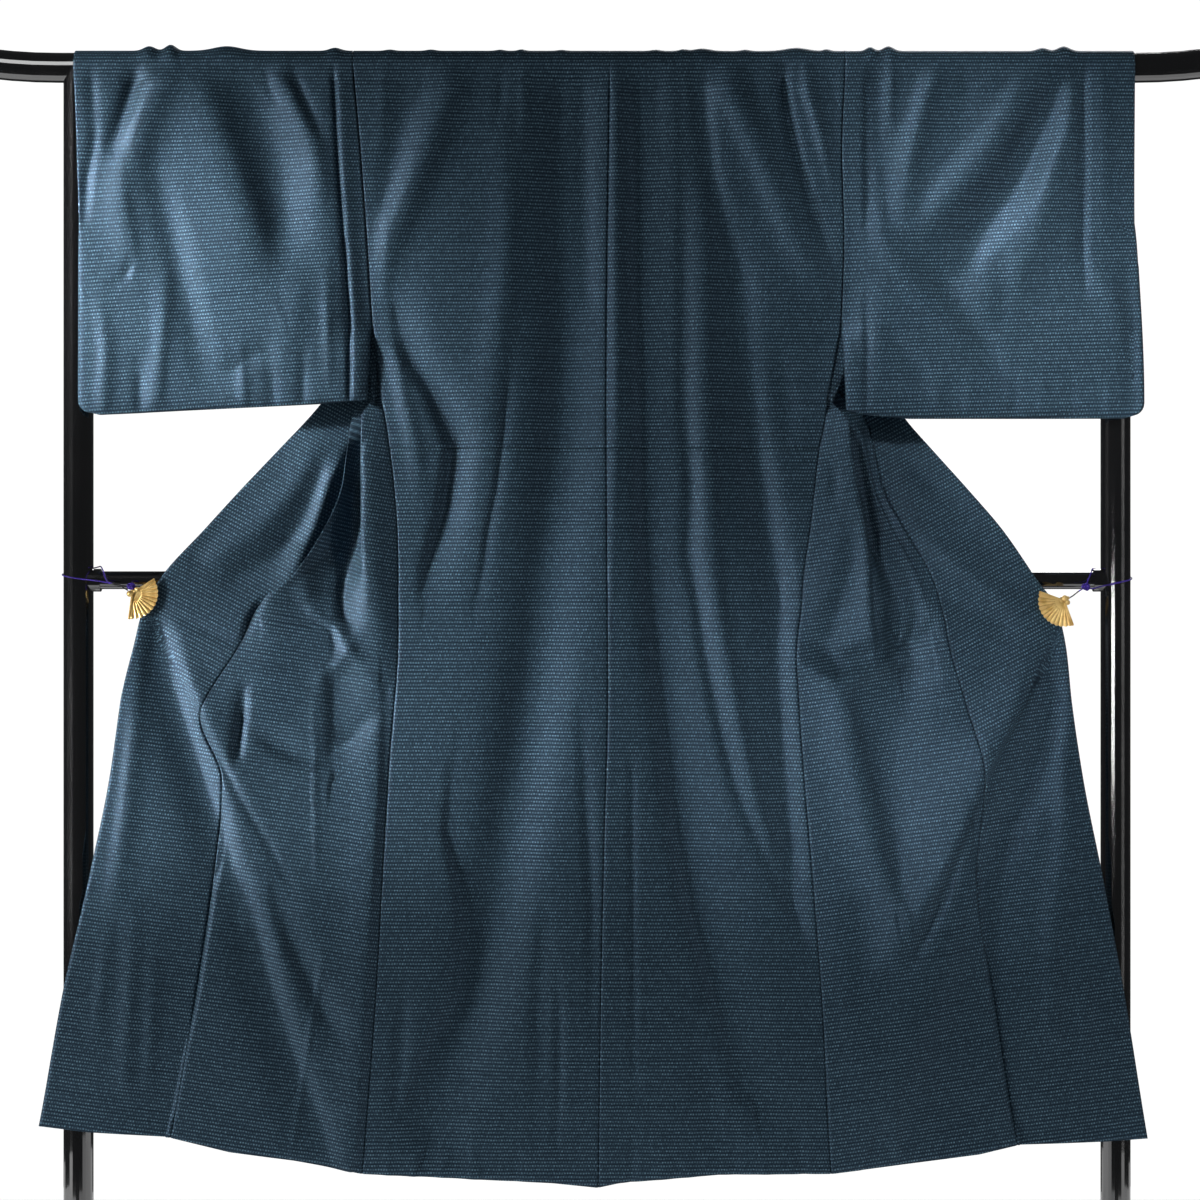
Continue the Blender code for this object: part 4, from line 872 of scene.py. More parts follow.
@dataclass
class Front:
    """The surface of one front, read at a height and a step across its lines."""

    across: tuple
    depth: tuple
    hand: Hand
    fine_steps: int = 160
    turn_weight: float = 0.04
    step_nudge: float = 0.02
    across_lines: list = field(init=False)
    depth_lines: list = field(init=False)

    def __post_init__(self) -> None:
        """Makes a smooth line down each column of the two tables."""
        self.across_lines = self.columns(self.across)
        self.depth_lines = self.columns(self.depth)

    @staticmethod
    def columns(sections: tuple) -> list:
        """One profile for each of the six lines."""
        rows = [(section.height, section.values()) for section in sections]
        return [Profile([(height, values[k]) for height, values in rows]) for k in range(FREE_EDGE + 1)]

    def section(self, height: np.ndarray) -> tuple:
        """The six lines' places and depths at each height."""
        across = np.array([line(height) for line in self.across_lines])
        depth = np.array([line(height) for line in self.depth_lines])
        return across, depth

    def place(self, step: np.ndarray, height: np.ndarray, past: object = 0.0) -> np.ndarray:
        """Points of the front: step 0 is the side seam, 4 the front seam and 5 the free edge.

        Args:
            step: the step across of each point.
            height: the section that each point lies on.
            past: how far each point is moved along its section.

        Returns:
            An array with x, y and z on its last axis.
        """
        across, depth = self.section(height)
        x, y = through(across, step), through(depth, step)
        low, high = np.maximum(0, step - self.step_nudge), np.minimum(FREE_EDGE, step + self.step_nudge)
        run_x = through(across, high) - through(across, low)
        run_y = through(depth, high) - through(depth, low)
        length = np.maximum(np.hypot(run_x, run_y), TINY)
        x, y = x + past * run_x / length, y + past * run_y / length
        shown = fade((FOLDS_TOP - height) / FOLDS_FADE)
        on_strip = fade((np.abs(across[FREE_EDGE]) - np.abs(x)) / EDGE_FADE)
        shown = shown * np.where(step > FRONT_SEAM, on_strip, 1.0)
        y = y + folded(FRONT_FOLDS, x, height) * shown
        upper = fade((height - FOLDS_TOP) / FOLDS_FADE + 1) * fade((ROD_FADE_TOP - height) / EDGE_FADE)
        y = y + folded(UPPER_FOLDS, x, height) * upper * (step <= FRONT_SEAM)
        return np.stack([x, y, hem_height(x, height)], axis=-1)

    def spread(self, height: float, count: int) -> np.ndarray:
        """Steps from the side seam to the front seam, closer together where the cloth turns.

        Args:
            height: the section's height.
            count: how many places it has.

        Returns:
            The steps.
        """
        fine = np.linspace(0, FRONT_SEAM, self.fine_steps + 1)
        across, depth = self.section(np.full(fine.shape, height))
        runs = np.diff(np.stack([through(across, fine), through(depth, fine)]), axis=1)
        weights = np.hypot(*runs)
        angles = np.unwrap(np.arctan2(runs[1], runs[0]))
        turns = self.turn_weight * np.abs(np.diff(angles))
        weights[:-1] += turns / 2
        weights[1:] += turns / 2
        passed = np.concatenate([[0], np.cumsum(weights)])
        return np.interp(edged(float(passed[-1]), count), passed, fine)


def hem_height(x: np.ndarray, height: np.ndarray) -> np.ndarray:
    """Bends the lowest rows to the hem's own line."""
    share = np.maximum(0.0, (HEM_BLEND - height) / (HEM_BLEND - HEM_ROW))
    return height + (HEM_LINE(x) - HEM_ROW) * share * share


def over_rod(x: np.ndarray, along: np.ndarray, away: np.ndarray) -> np.ndarray:
    """Places on the cloth over the rod, by their distance past the top, towards the far side."""
    radius = OVER_RADIUS + away
    turn = np.clip(along, -QUARTER, QUARTER) / OVER_RADIUS
    drop = np.maximum(0.0, np.abs(along) - QUARTER)
    x = np.broadcast_to(x, np.shape(turn))
    return np.stack([x, radius * np.sin(turn), ROD_HEIGHT + radius * np.cos(turn) - drop], axis=-1)


def drawn_in(distance: np.ndarray) -> np.ndarray:
    """How far a seam draws the cloth in, at a distance from it."""
    return SEAM_DIP * bell(distance, SEAM_REACH)


def gathered(x: np.ndarray, gathers: tuple) -> np.ndarray:
    """How far the gathers lift the cloth off the rod."""
    return sum(rise * bell(x - at, width) for at, width, rise in gathers)


FRONTS = {
    Hand.LEFT: Front(LEFT_ACROSS, LEFT_DEPTH, Hand.LEFT),
    Hand.RIGHT: Front(RIGHT_ACROSS, RIGHT_DEPTH, Hand.RIGHT),
}


# Meshes


def only(thing: bpy.types.Object) -> bpy.types.Object:
    """Selects one object alone and makes it the active one."""
    bpy.ops.object.select_all(action="DESELECT")
    thing.select_set(True)
    bpy.context.view_layer.objects.active = thing
    return thing


def added(operator: object, **settings: object) -> bpy.types.Object:
    """Adds a plain solid with nothing else selected.

    Args:
        operator: Blender's own operator for it.
        **settings: its sizes and its place.

    Returns:
        The new object.
    """
    bpy.ops.object.select_all(action="DESELECT")
    operator(**settings)
    return bpy.context.object


def applied(thing: bpy.types.Object, kind: str, **settings: object) -> bpy.types.Object:
    """Gives an object a modifier and applies it.

    Args:
        thing: the object.
        kind: the modifier's type.
        **settings: its settings.

    Returns:
        The object.
    """
    only(thing)
    step = thing.modifiers.new(kind.title(), kind)
    for name, value in settings.items():
        setattr(step, name, value)
    bpy.ops.object.modifier_apply(modifier=step.name)
    return thing


def cloth_sheet(
    name: str, places: np.ndarray, weave: np.ndarray, kept: np.ndarray | None = None
) -> bpy.types.Object:
    """Makes a thin shell of cloth from a grid laid on the given places.

    Args:
        name: the piece's name.
        places: the grid's points, by row and column.
        weave: the weave coordinates of the same points, in metres.
        kept: which points stay, or none for all of them.

    Returns:
        The shell, with its weave map.
    """
    rows, columns = places.shape[:2]
    kept = np.ones((rows, columns), bool) if kept is None else kept
    grid = bpy.ops.mesh.primitive_grid_add
    thing = added(grid, x_subdivisions=columns - 1, y_subdivisions=rows - 1, size=1.0)
    thing.name = thing.data.name = name
    mesh = thing.data
    flat = np.zeros(len(mesh.vertices) * 3)
    mesh.vertices.foreach_get("co", flat)
    flat = flat.reshape(-1, 3) + 0.5
    column = np.rint(flat[:, 0] * (columns - 1)).astype(int)
    row = np.rint(flat[:, 1] * (rows - 1)).astype(int)
    mesh.vertices.foreach_set("co", places[row, column].ravel())
    while mesh.uv_layers:
        mesh.uv_layers.remove(mesh.uv_layers[0])
    chart = mesh.uv_layers.new(name=NavySilk.weave)
    corners = np.zeros(len(mesh.loops), int)
    mesh.loops.foreach_get("vertex_index", corners)
    chart.data.foreach_set("uv", weave[row[corners], column[corners]].ravel())
    only(thing)
    bpy.ops.object.mode_set(mode="EDIT")
    bpy.ops.mesh.select_all(action="DESELECT")
    bpy.ops.object.mode_set(mode="OBJECT")
    mesh.vertices.foreach_set("select", ~kept[row, column])
    bpy.ops.object.mode_set(mode="EDIT")
    bpy.ops.mesh.delete(type="VERT")
    bpy.ops.mesh.select_all(action="SELECT")
    bpy.ops.mesh.remove_doubles(threshold=0.00001)
    bpy.ops.mesh.normals_make_consistent(inside=False)
    bpy.ops.object.mode_set(mode="OBJECT")
    applied(thing, "SOLIDIFY", thickness=WALL, offset=0.0, use_even_offset=False)
    only(thing)
    bpy.ops.object.shade_smooth()
    return thing


def dressed(
    thing: bpy.types.Object, material: bpy.types.Material, slot: Slot, *nodes: str
) -> bpy.types.Object:
    """Gives a piece its material and its body, and hides the nodes that it replaces.

    Args:
        thing: the piece.
        material: its material.
        slot: not used.
        *nodes: the nodes that it replaces.

    Returns:
        The piece.
    """
    thing.data.materials.clear()
    thing.data.materials.append(material)
    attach(thing, ROOT)
    if nodes:
        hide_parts(*nodes)
    return thing


def cloth_piece(
    node: str, silk: bpy.types.Material, places: np.ndarray, weave: np.ndarray, kept: np.ndarray | None = None
) -> bpy.types.Object:
    """The dressed sheet of cloth for one of the garment's nodes."""
    return dressed(cloth_sheet(f"cloth_{node}", places, weave, kept), silk, Slot.SILK, node)


def edged(length: float, count: int) -> np.ndarray:
    """Places from 0 to length, with a few closer ones at both ends.

    Args:
        length: the last place.
        count: how many places there are.

    Returns:
        The places, in order.
    """
    near = np.array(NEAR_EDGE)
    even = np.linspace(near[-1], length - near[-1], count - 2 * len(near))
    return np.concatenate([[0.0], near[:-1], even, (length - near[:-1])[::-1], [length]])


def centres(first: float, last: float, spacing: float, crowded: tuple = ()) -> np.ndarray:
    """Heights from first to last, closer together round each crowded height.

    Args:
        first: the first height.
        last: the last height.
        spacing: the usual distance between rows.
        crowded: (height, reach, spacing) for each place with closer rows.

    Returns:
        The heights, in order from first to last.
    """
    fine = np.linspace(first, last, 4001)
    density = np.full(fine.shape, 1 / spacing)
    for height, reach, close in crowded:
        density += (1 / close - 1 / spacing) * bell(fine - height, reach)
    passed = np.concatenate([[0], np.cumsum((density[1:] + density[:-1]) / 2 * np.abs(np.diff(fine)))])
    count = int(round(passed[-1])) + 1
    return np.interp(np.linspace(0, passed[-1], count), passed, fine)


@dataclass
class Body:
    """One half of the body: one length of cloth from the back hem, over the rod, to the front hem."""

    hand: Hand
    front_columns: int = 92
    neck_columns: int = 26
    row_spacing: float = 0.0068
    over_rows: int = 14
    tuck_height: float = 1.176
    tuck_depth: float = 0.0024
    tuck_reach: float = 0.0013
    front_tilt: float = 9.5
    slit: tuple = (1.225, 1.350, 0.016)
    slit_steps: float = 0.6
    tuck_rows: tuple = (0.004, 0.0008)
    hollow_rows: tuple = (1.12, 0.20, 0.0052)
    even_below: float = 1.60
    even_over: float = 0.15
    gathers: tuple = (
        (0.139, 0.014, 0.003), (0.262, 0.020, 0.004), (-0.127, 0.007, 0.0014), (-0.099, 0.006, 0.0018),
        (-0.218, 0.008, 0.0016), (-0.046, 0.007, 0.0012), (0.078, 0.008, 0.0014), (0.114, 0.007, 0.002),
        (0.195, 0.007, 0.0016), (0.302, 0.006, 0.0022), (-0.272, 0.008, 0.0016),
    )

    @property
    def front(self) -> Front:
        """The front's surface."""
        return FRONTS[self.hand]

    def back(self, share: np.ndarray, height: np.ndarray) -> np.ndarray:
        """Points of the back.

        Args:
            share: 0 at the side seam and 1 at the centre seam.
            height: each point's height, before the hem's line.

        Returns:
            An array with x, y and z on its last axis.
        """
        side_line, side_depth = self.front.across_lines[SIDE_SEAM], self.front.depth_lines[SIDE_SEAM]
        side = side_line(height) - SEAM / 2 * self.hand.value
        centre = CENTRE_SEAM(height) + SEAM / 2 * self.hand.value
        x = side + (centre - side) * share
        edge = np.where(height > SIDE_SEAM_TOP, BACK_EDGE_DEPTH(height), side_depth(height))
        middle = BACK_DEPTH(height)
        towards_side = 1 - fade(np.abs(x - side) / BACK_EDGE_BLEND)
        shown = fade(np.abs(x - side) / EDGE_FADE) * fade((ROD_FADE_TOP - height) / ROD_FADE)
        y = middle + (edge - middle) * towards_side + folded(BACK_FOLDS, x, height) * shown
        y += drawn_in(x - side)
        y += drawn_in(x - centre)
        y += self.tuck_depth * bell(height - self.tuck_height, self.tuck_reach)
        return np.stack([x, y, hem_height(x, height)], axis=-1)

    def build(self, silk: bpy.types.Material) -> bpy.types.Object:
        """Lays the cloth and dresses it.

        Args:
            silk: the cloth's material.

        Returns:
            The piece.
        """
        hand, front = self.hand.value, self.front
        columns = self.front_columns + self.neck_columns
        top = front.section(np.array([FRONT_TOP]))[0][:, 0]
        shoulder = through(top, front.spread(FRONT_TOP, self.front_columns))
        side_x, neck_x, centre_x = top[SIDE_SEAM], NECK[self.hand], float(CENTRE_SEAM(ROD_HEIGHT))
        neck_share = (neck_x - side_x) / (centre_x - side_x)
        shares = neck_share * (shoulder - side_x) / (shoulder[-1] - side_x)
        width = abs(centre_x - side_x)
        even = edged(neck_share * width, self.front_columns) / width
        past = edged((1 - neck_share) * width, self.neck_columns + 1)[1:] / width + neck_share
        tuck_rows = (self.tuck_height, *self.tuck_rows)
        back_rows = centres(HEM_ROW, BACK_TOP, self.row_spacing, (tuck_rows,))
        places, weaves, kept = [], [], []
        top_share = np.concatenate([shares, past])
        even_share = np.concatenate([even, past])
        for height in back_rows:
            turn = float(fade((self.even_below - height) / self.even_over))
            share = top_share + (even_share - top_share) * turn
            row = self.back(share, np.full(columns, height))
            places.append(row)
            weaves.append(np.stack([row[:, 0], row[:, 2]], axis=-1))
            kept.append(np.ones(columns, bool))
        x = self.back(top_share, np.full(columns, ROD_HEIGHT))[:, 0]
        top_v = float(places[-1][:, 2].mean())
        for k in range(self.over_rows + 1):
            along = -QUARTER + 2 * QUARTER * k / self.over_rows
            away = math.sin(math.pi * k / self.over_rows) * gathered(x, self.gathers)
            places.append(over_rod(x, np.full(columns, along), away))
            v = np.full(columns, top_v + ROD_HEIGHT - BACK_TOP + along + QUARTER)
            weaves.append(np.stack([x, v], axis=-1))
            stay = top_share <= neck_share + TINY
            kept.append(stay if k > self.over_rows // 2 else np.ones(columns, bool))
        over_v = float(weaves[-1][0, 1])
        front_rows = centres(FRONT_TOP, HEM_ROW, self.row_spacing, (self.hollow_rows,))
        tilt = math.radians(self.front_tilt)
        for height in front_rows:
            step = front.spread(float(height), self.front_columns)
            level = np.full(step.shape, height)
            past_seam = np.where(step > FRONT_SEAM - TINY, -SEAM / 2, 0.0)
            row = front.place(step, level, past_seam)
            row[0, 0] += SEAM / 2 * (hand if height < SIDE_SEAM_TOP else -hand)
            low, high, reach = self.slit
            bulge = math.sin(math.pi * min(max((height - low) / (high - low), 0.0), 1.0)) ** 0.5
            row[:, 0] += hand * reach * bulge * (1 - fade(step / self.slit_steps))
            row[:, 1] += drawn_in(row[:, 0] - row[0, 0])
            row[:, 1] += drawn_in(row[:, 0] - row[-1, 0])
            run = np.concatenate([[0], np.cumsum(np.hypot(np.diff(row[:, 0]), np.diff(row[:, 1])))])
            fall = over_v + ROD_HEIGHT - row[:, 2]
            v = (fall + run * math.tan(tilt)) * math.cos(tilt)
            filler = np.repeat(row[-1:], self.neck_columns, axis=0)
            places.append(np.concatenate([row, filler]))
            weaves.append(np.pad(np.stack([run, v], axis=-1), ((0, self.neck_columns), (0, 0)), mode="edge"))
            kept.append(np.arange(columns) < self.front_columns)
        grids = (np.array(grid) for grid in (places, weaves, kept))
        thing = cloth_piece(f"body_{self.hand.word}", silk, *grids)
        return thing


@dataclass
class Okumi:
    """The strip sewn along a front seam, from its point under the collar to the hem."""

    hand: Hand
    top: float = 1.395
    columns: int = 44
    row_spacing: float = 0.0062
    upper_tilt: float = 27.0
    lower_tilt: float = 8.5
    turn_reach: float = 0.006
    crowding: float = 1.3

    def chart(self, x: np.ndarray, z: np.ndarray, tilt: float) -> np.ndarray:
        """Weave coordinates whose rows fall towards the body by the given tilt."""
        cosine, sine = math.cos(math.radians(tilt)), math.sin(math.radians(tilt)) * self.hand.value
        return np.stack([x * cosine + z * sine, x * sine - z * cosine], axis=-1)

    def weave(self, x: np.ndarray, z: np.ndarray) -> np.ndarray:
        """Weave coordinates that turn at the fold below the clip."""
        (ax, az), (bx, bz) = TURN_LINE[self.hand]
        middle = self.chart((ax + bx) / 2, (az + bz) / 2, self.upper_tilt)
        middle = middle - self.chart((ax + bx) / 2, (az + bz) / 2, self.lower_tilt)
        upper, lower = self.chart(x, z, self.upper_tilt), self.chart(x, z, self.lower_tilt) + middle
        run = np.array([bx - ax, bz - az]) / math.hypot(bx - ax, bz - az)
        past = self.hand.value * ((x - ax) * -run[1] + (z - az) * run[0])
        share = fade(past / self.turn_reach + 0.5)[..., None]
        return upper + (lower - upper) * share

    def build(self, silk: bpy.types.Material) -> bpy.types.Object:
        """Lays the strip and dresses it.

        Args:
            silk: the cloth's material.

        Returns:
            The piece.
        """
        front = FRONTS[self.hand]
        heights = centres(self.top, HEM_ROW, self.row_spacing)
        steps = FRONT_SEAM + np.linspace(0, 1, self.columns) ** self.crowding
        step, level = np.meshgrid(steps, heights)
        places = front.place(step, level, np.where(step < FRONT_SEAM + TINY, SEAM / 2, 0.0))
        seam = places[:, :1]
        places[..., 1] += drawn_in(np.linalg.norm(places - seam, axis=-1))
        weave = self.weave(places[..., 0], places[..., 2])
        thing = cloth_piece(f"okumi_{self.hand.word}", silk, places, weave)
        return thing


@dataclass
class Collar:
    """The band along both free edges and round the neck, where it falls over the far side."""

    width: float = 0.055
    end: float = 1.050
    behind: float = 0.0038
    free_behind: float = 0.0053
    lift: float = 0.0005
    corner_reach: float = 0.048
    corner_behind: float = 0.0010
    side_rows: int = 96
    turn_rows: int = 8
    neck_rows: int = 24
    columns: int = 15
    probe: float = 0.01

    def side(self, front: Front) -> tuple:
        """The band's seam places and free places down one front, on the unrolled far side.

        Args:
            front: the front that the band is sewn to.

        Returns:
            Two arrays of (x, distance past the rod's top, depth).
        """
        hand = front.hand.value
        height = np.linspace(self.end, BACK_TOP, self.side_rows)
        edge, edge_depth = front.across_lines[FREE_EDGE], front.depth_lines[FREE_EDGE]
        run = edge(height + self.probe) - edge(height - self.probe)
        length = np.hypot(run, 2 * self.probe)
        seam_x = edge(height) - COLLAR_CLEAR * hand
        free_x = seam_x - self.width * hand * 2 * self.probe / length
        free_z = height + self.width * hand * run / length
        free_depth = np.maximum(self.strip_depth(front, free_x, free_z), edge_depth(free_z))
        off = fade((ROD_FADE_TOP - height) / EDGE_FADE)
        seam_y = edge_depth(height) + self.behind * off - OVER_RADIUS
        free_y = free_depth + self.free_behind * off - OVER_RADIUS
        seam = np.stack([seam_x, ROD_HEIGHT - height + QUARTER, seam_y], axis=-1)
        free = np.stack([free_x, ROD_HEIGHT - free_z + QUARTER, free_y], axis=-1)
        return seam, free

    @staticmethod
    def strip_depth(front: Front, x: np.ndarray, height: np.ndarray) -> np.ndarray:
        """The depth of the strip between the front seam and the free edge."""
        across, depth = front.section(height)
        run = across[FREE_EDGE] - across[FRONT_SEAM]
        safe = np.where(np.abs(run) > TINY, run, 1.0)
        t = np.where(np.abs(run) > TINY, np.clip((x - across[FRONT_SEAM]) / safe, 0, 1), 1.0)
        return depth[FRONT_SEAM] + (depth[FREE_EDGE] - depth[FRONT_SEAM]) * t

    def corner(self, free: np.ndarray, hand: Hand) -> tuple:
        """The band's places from a front's top, up over the rod, to the corner of the neck."""
        share = np.arange(self.turn_rows + 1) / self.turn_rows
        along = QUARTER + (COLLAR_CLEAR - QUARTER) * share
        seam_x = NECK[hand] - COLLAR_CLEAR * hand.value
        seam = np.stack([np.full(share.shape, seam_x), along, np.zeros(share.shape)], axis=-1)
        out = NECK[hand] - self.corner_reach * hand.value
        last = np.array([out, self.width + COLLAR_CLEAR, self.corner_behind])
        blend = (np.arange(self.turn_rows + 1) + 1)[:, None] / (self.turn_rows + 1)
        return seam, free[-1] + (last - free[-1]) * blend

    def build(self, silk: bpy.types.Material) -> bpy.types.Object:
        """Lays the band and dresses it.

        Args:
            silk: the cloth's material.

        Returns:
            The piece.
        """
        halves = {}
        for hand in Hand:
            seam, free = self.side(FRONTS[hand])
            turn_seam, turn_free = self.corner(free, hand)
            halves[hand] = (np.concatenate([seam, turn_seam]), np.concatenate([free, turn_free]))
        share = (np.arange(1, self.neck_rows) / self.neck_rows)[:, None]
        joined = []
        for k in range(2):
            left, right = halves[Hand.LEFT][k], halves[Hand.RIGHT][k]
            neck = left[-1] + (right[-1] - left[-1]) * share
            joined.append(np.concatenate([left, neck, right[::-1]]))
        seam, free = joined
        t = np.linspace(0, 1, self.columns)[None, :, None]
        flat = seam[:, None] + (free - seam)[:, None] * t
        places = over_rod(flat[..., 0], flat[..., 1], self.lift)
        places[..., 1] += flat[..., 2]
        lengths = np.linalg.norm(np.diff(seam[:, :2], axis=0), axis=1)
        passed = np.concatenate([[0], np.cumsum(lengths)])
        v = np.broadcast_to(passed[:, None], flat.shape[:2])
        u = np.broadcast_to(t[0, :, 0] * self.width, flat.shape[:2])
        weave = np.stack([u, v], axis=-1)
        thing = cloth_piece("collar", silk, places, weave)
        return thing


@dataclass(frozen=True)
class SleeveShape:
    """One sleeve: its edges as (z, x), its bottom as (x, z), its gathers as (x, width, rise)."""

    inner_low: Polyline
    outer_near: Profile
    outer_far: Profile
    bottom: Polyline
    notch: float
    gathers: tuple
    tilt: float
    near_folds: tuple
    far_folds: tuple


# Folds of the sleeves
LEFT_SLEEVE_NEAR = (
    crease(209, 235, 90, (-553, 1696), (-571, 1652), (-592, 1607), (-603, 1563, 0.8), (-610, 1513, 0.3)),
    crease(118, 91, -100, (-595, 1686, 0.8), (-608, 1650), (-616, 1620, 0.9), (-634, 1571, 0.5)),
    crease(235, 118, 60, (-623, 1552, 0.3), (-621, 1500, 0.9), (-610, 1448, 0.8), (-603, 1409, 0.2)),
    crease(471, 235, 90, (-536, 1683, 0.6), (-506, 1615), (-472, 1531), (-446, 1453), (-425, 1393, 0.5)),
    crease(340, 314, -140, (-474, 1688, 0.25), (-446, 1623, 0.8), (-420, 1542), (-409, 1471, 0.9),
           (-414, 1409, 0.4)),
    crease(157, 118, 60, (-438, 1691, 0.8), (-401, 1641), (-372, 1584), (-359, 1513, 0.5)),
    crease(78, 78, -60, (-409, 1688, 0.8), (-388, 1641), (-365, 1592, 0.7)),
    crease(183, 209, -65, (-579, 1552, 0.4), (-562, 1473), (-548, 1414), (-532, 1354, 0.9),
           (-512, 1271, 0.6)),
    crease(65, 78, -35, (-599, 1291, 0.3), (-597, 1231)),
    crease(65, 65, -35, (-383, 1304, 0.3), (-384, 1241)),
    crease(52, 52, -40, (-634, 1390, 0.3), (-616, 1401), (-608, 1419, 0.4)),
    crease(105, 105, -40, (-498, 1265, 0.3), (-467, 1283), (-435, 1304, 0.6)),
    crease(78, 52, 30, (-464, 1317, 0.3), (-459, 1236)),
    crease(91, 78, -30, (-427, 1304, 0.3), (-422, 1236)),
    crease(39, 33, -50, (-346, 1704), (-342, 1618), (-337, 1527), (-329, 1428), (-323, 1337), (-323, 1236)),
    crease(33, 144, 40, (-341, 1704), (-337, 1618), (-332, 1527), (-324, 1428), (-318, 1337), (-318, 1236)),
    crease(65, 65, 26, (-354, 1409, 0.3), (-352, 1343), (-349, 1265, 0.6)),
    crease(209, 183, 40, (-401, 1448, 0.3), (-393, 1369), (-401, 1304, 0.5)),
    crease(78, 78, -40, (-663, 1683, 0.8), (-660, 1631, 0.8), (-657, 1565, 0.3)),
    crease(65, 78, -40, (-655, 1592, 0.4), (-668, 1526), (-670, 1474, 0.5)),
    crease(105, 105, 40, (-650, 1369, 0.3), (-639, 1304), (-644, 1233, 0.8)),
    crease(118, 91, 40, (-563, 1409, 0.3), (-566, 1330), (-574, 1239, 0.8)),
    crease(52, 65, -40, (-438, 1693, 0.7), (-433, 1659), (-422, 1631, 0.4)),
    crease(78, 78, 40, (-490, 1696), (-482, 1665, 0.6)),
)
LEFT_SLEEVE_FAR = (
    crease(120, 200, -60, (-560, 1660), (-590, 1600, 0.9), (-610, 1520, 0.3)),
    crease(120, 180, 50, (-470, 1660, 0.8), (-450, 1560), (-430, 1450, 0.3)),
    crease(100, 140, -40, (-520, 1640, 0.4), (-528, 1540), (-515, 1420), (-526, 1290, 0.6)),
    crease(120, 90, -34, (-385, 1655, 0.4), (-392, 1560, 0.9), (-380, 1450), (-392, 1330, 0.5)),
    crease(90, 110, -28, (-425, 1480, 0.3), (-440, 1400), (-452, 1300, 0.8)),
)
RIGHT_SLEEVE_NEAR = (
    crease(33, 183, -70, (356, 1696), (353, 1644), (352, 1565), (352, 1493, 0.8), (352, 1458, 0.2)),
    crease(33, 78, -35, (352, 1395, 0.1), (352, 1330, 0.9), (350, 1219)),
    crease(65, 78, 70, (382, 1696), (383, 1657), (383, 1605, 0.4)),
    crease(105, 183, -50, (370, 1683, 0.5), (372, 1592), (378, 1513, 0.8), (386, 1458, 0.3)),
    crease(131, 157, 70, (452, 1691, 0.8), (427, 1626), (409, 1552), (399, 1484, 0.5)),
    crease(105, 105, -40, (477, 1688, 0.8), (485, 1644, 0.7), (474, 1605, 0.2)),
    crease(261, 209, 90, (592, 1693, 0.6), (555, 1626), (503, 1547), (446, 1482, 0.8), (412, 1448, 0.3)),
    crease(340, 209, -150, (613, 1680, 0.7), (592, 1607), (553, 1526), (498, 1450, 0.8), (474, 1395, 0.3)),
    crease(235, 209, 60, (618, 1693, 0.8), (608, 1618), (595, 1546), (579, 1467), (545, 1395, 0.7),
           (514, 1341, 0.3)),
    crease(118, 39, -80, (638, 1693), (639, 1556), (637, 1448), (640, 1390, 0.5)),
    crease(105, 105, 30, (657, 1693, 0.8), (663, 1605), (663, 1461, 0.6)),
    crease(131, 170, 70, (357, 1458, 0.3), (386, 1419), (425, 1372), (467, 1330, 0.6)),
    crease(196, 131, -70, (412, 1450, 0.3), (454, 1395), (494, 1341), (527, 1275, 0.6)),
    crease(118, 118, -50, (365, 1343, 0.3), (388, 1317), (422, 1275, 0.8)),
    crease(131, 105, -50, (694, 1419, 0.3), (698, 1330), (701, 1228)),
    crease(157, 105, 50, (647, 1409, 0.4), (670, 1382), (684, 1330, 0.6)),
    crease(65, 65, -30, (548, 1291, 0.3), (545, 1223)),
    crease(65, 65, -34, (618, 1278, 0.3), (621, 1220)),
    crease(52, 52, 30, (668, 1265, 0.3), (665, 1218)),
    crease(91, 78, 30, (448, 1265, 0.3), (443, 1218)),
    crease(65, 78, 30, (488, 1275, 0.3), (482, 1218)),
    crease(78, 78, 26, (584, 1283, 0.3), (579, 1220)),
    crease(131, 131, -40, (527, 1422, 0.3), (532, 1369), (516, 1317, 0.5)),
    crease(39, 39, -30, (681, 1479, 0.4), (691, 1458), (699, 1443, 0.5)),
    crease(65, 65, -30, (571, 1688, 0.8), (566, 1662, 0.6), (553, 1636, 0.2)),
    crease(78, 78, 30, (521, 1691, 0.8), (516, 1657, 0.5)),
)
RIGHT_SLEEVE_FAR = (
    crease(120, 200, -60, (600, 1660), (575, 1600, 0.9), (560, 1520, 0.3)),
    crease(120, 180, 50, (430, 1660, 0.8), (450, 1560), (470, 1450, 0.3)),
    crease(120, 100, -38, (545, 1640, 0.4), (552, 1550), (540, 1430), (548, 1300, 0.6)),
    crease(90, 130, -36, (400, 1650, 0.4), (396, 1560), (408, 1440), (400, 1320, 0.5)),
    crease(100, 90, -28, (480, 1500, 0.3), (492, 1420), (486, 1310, 0.7)),
)

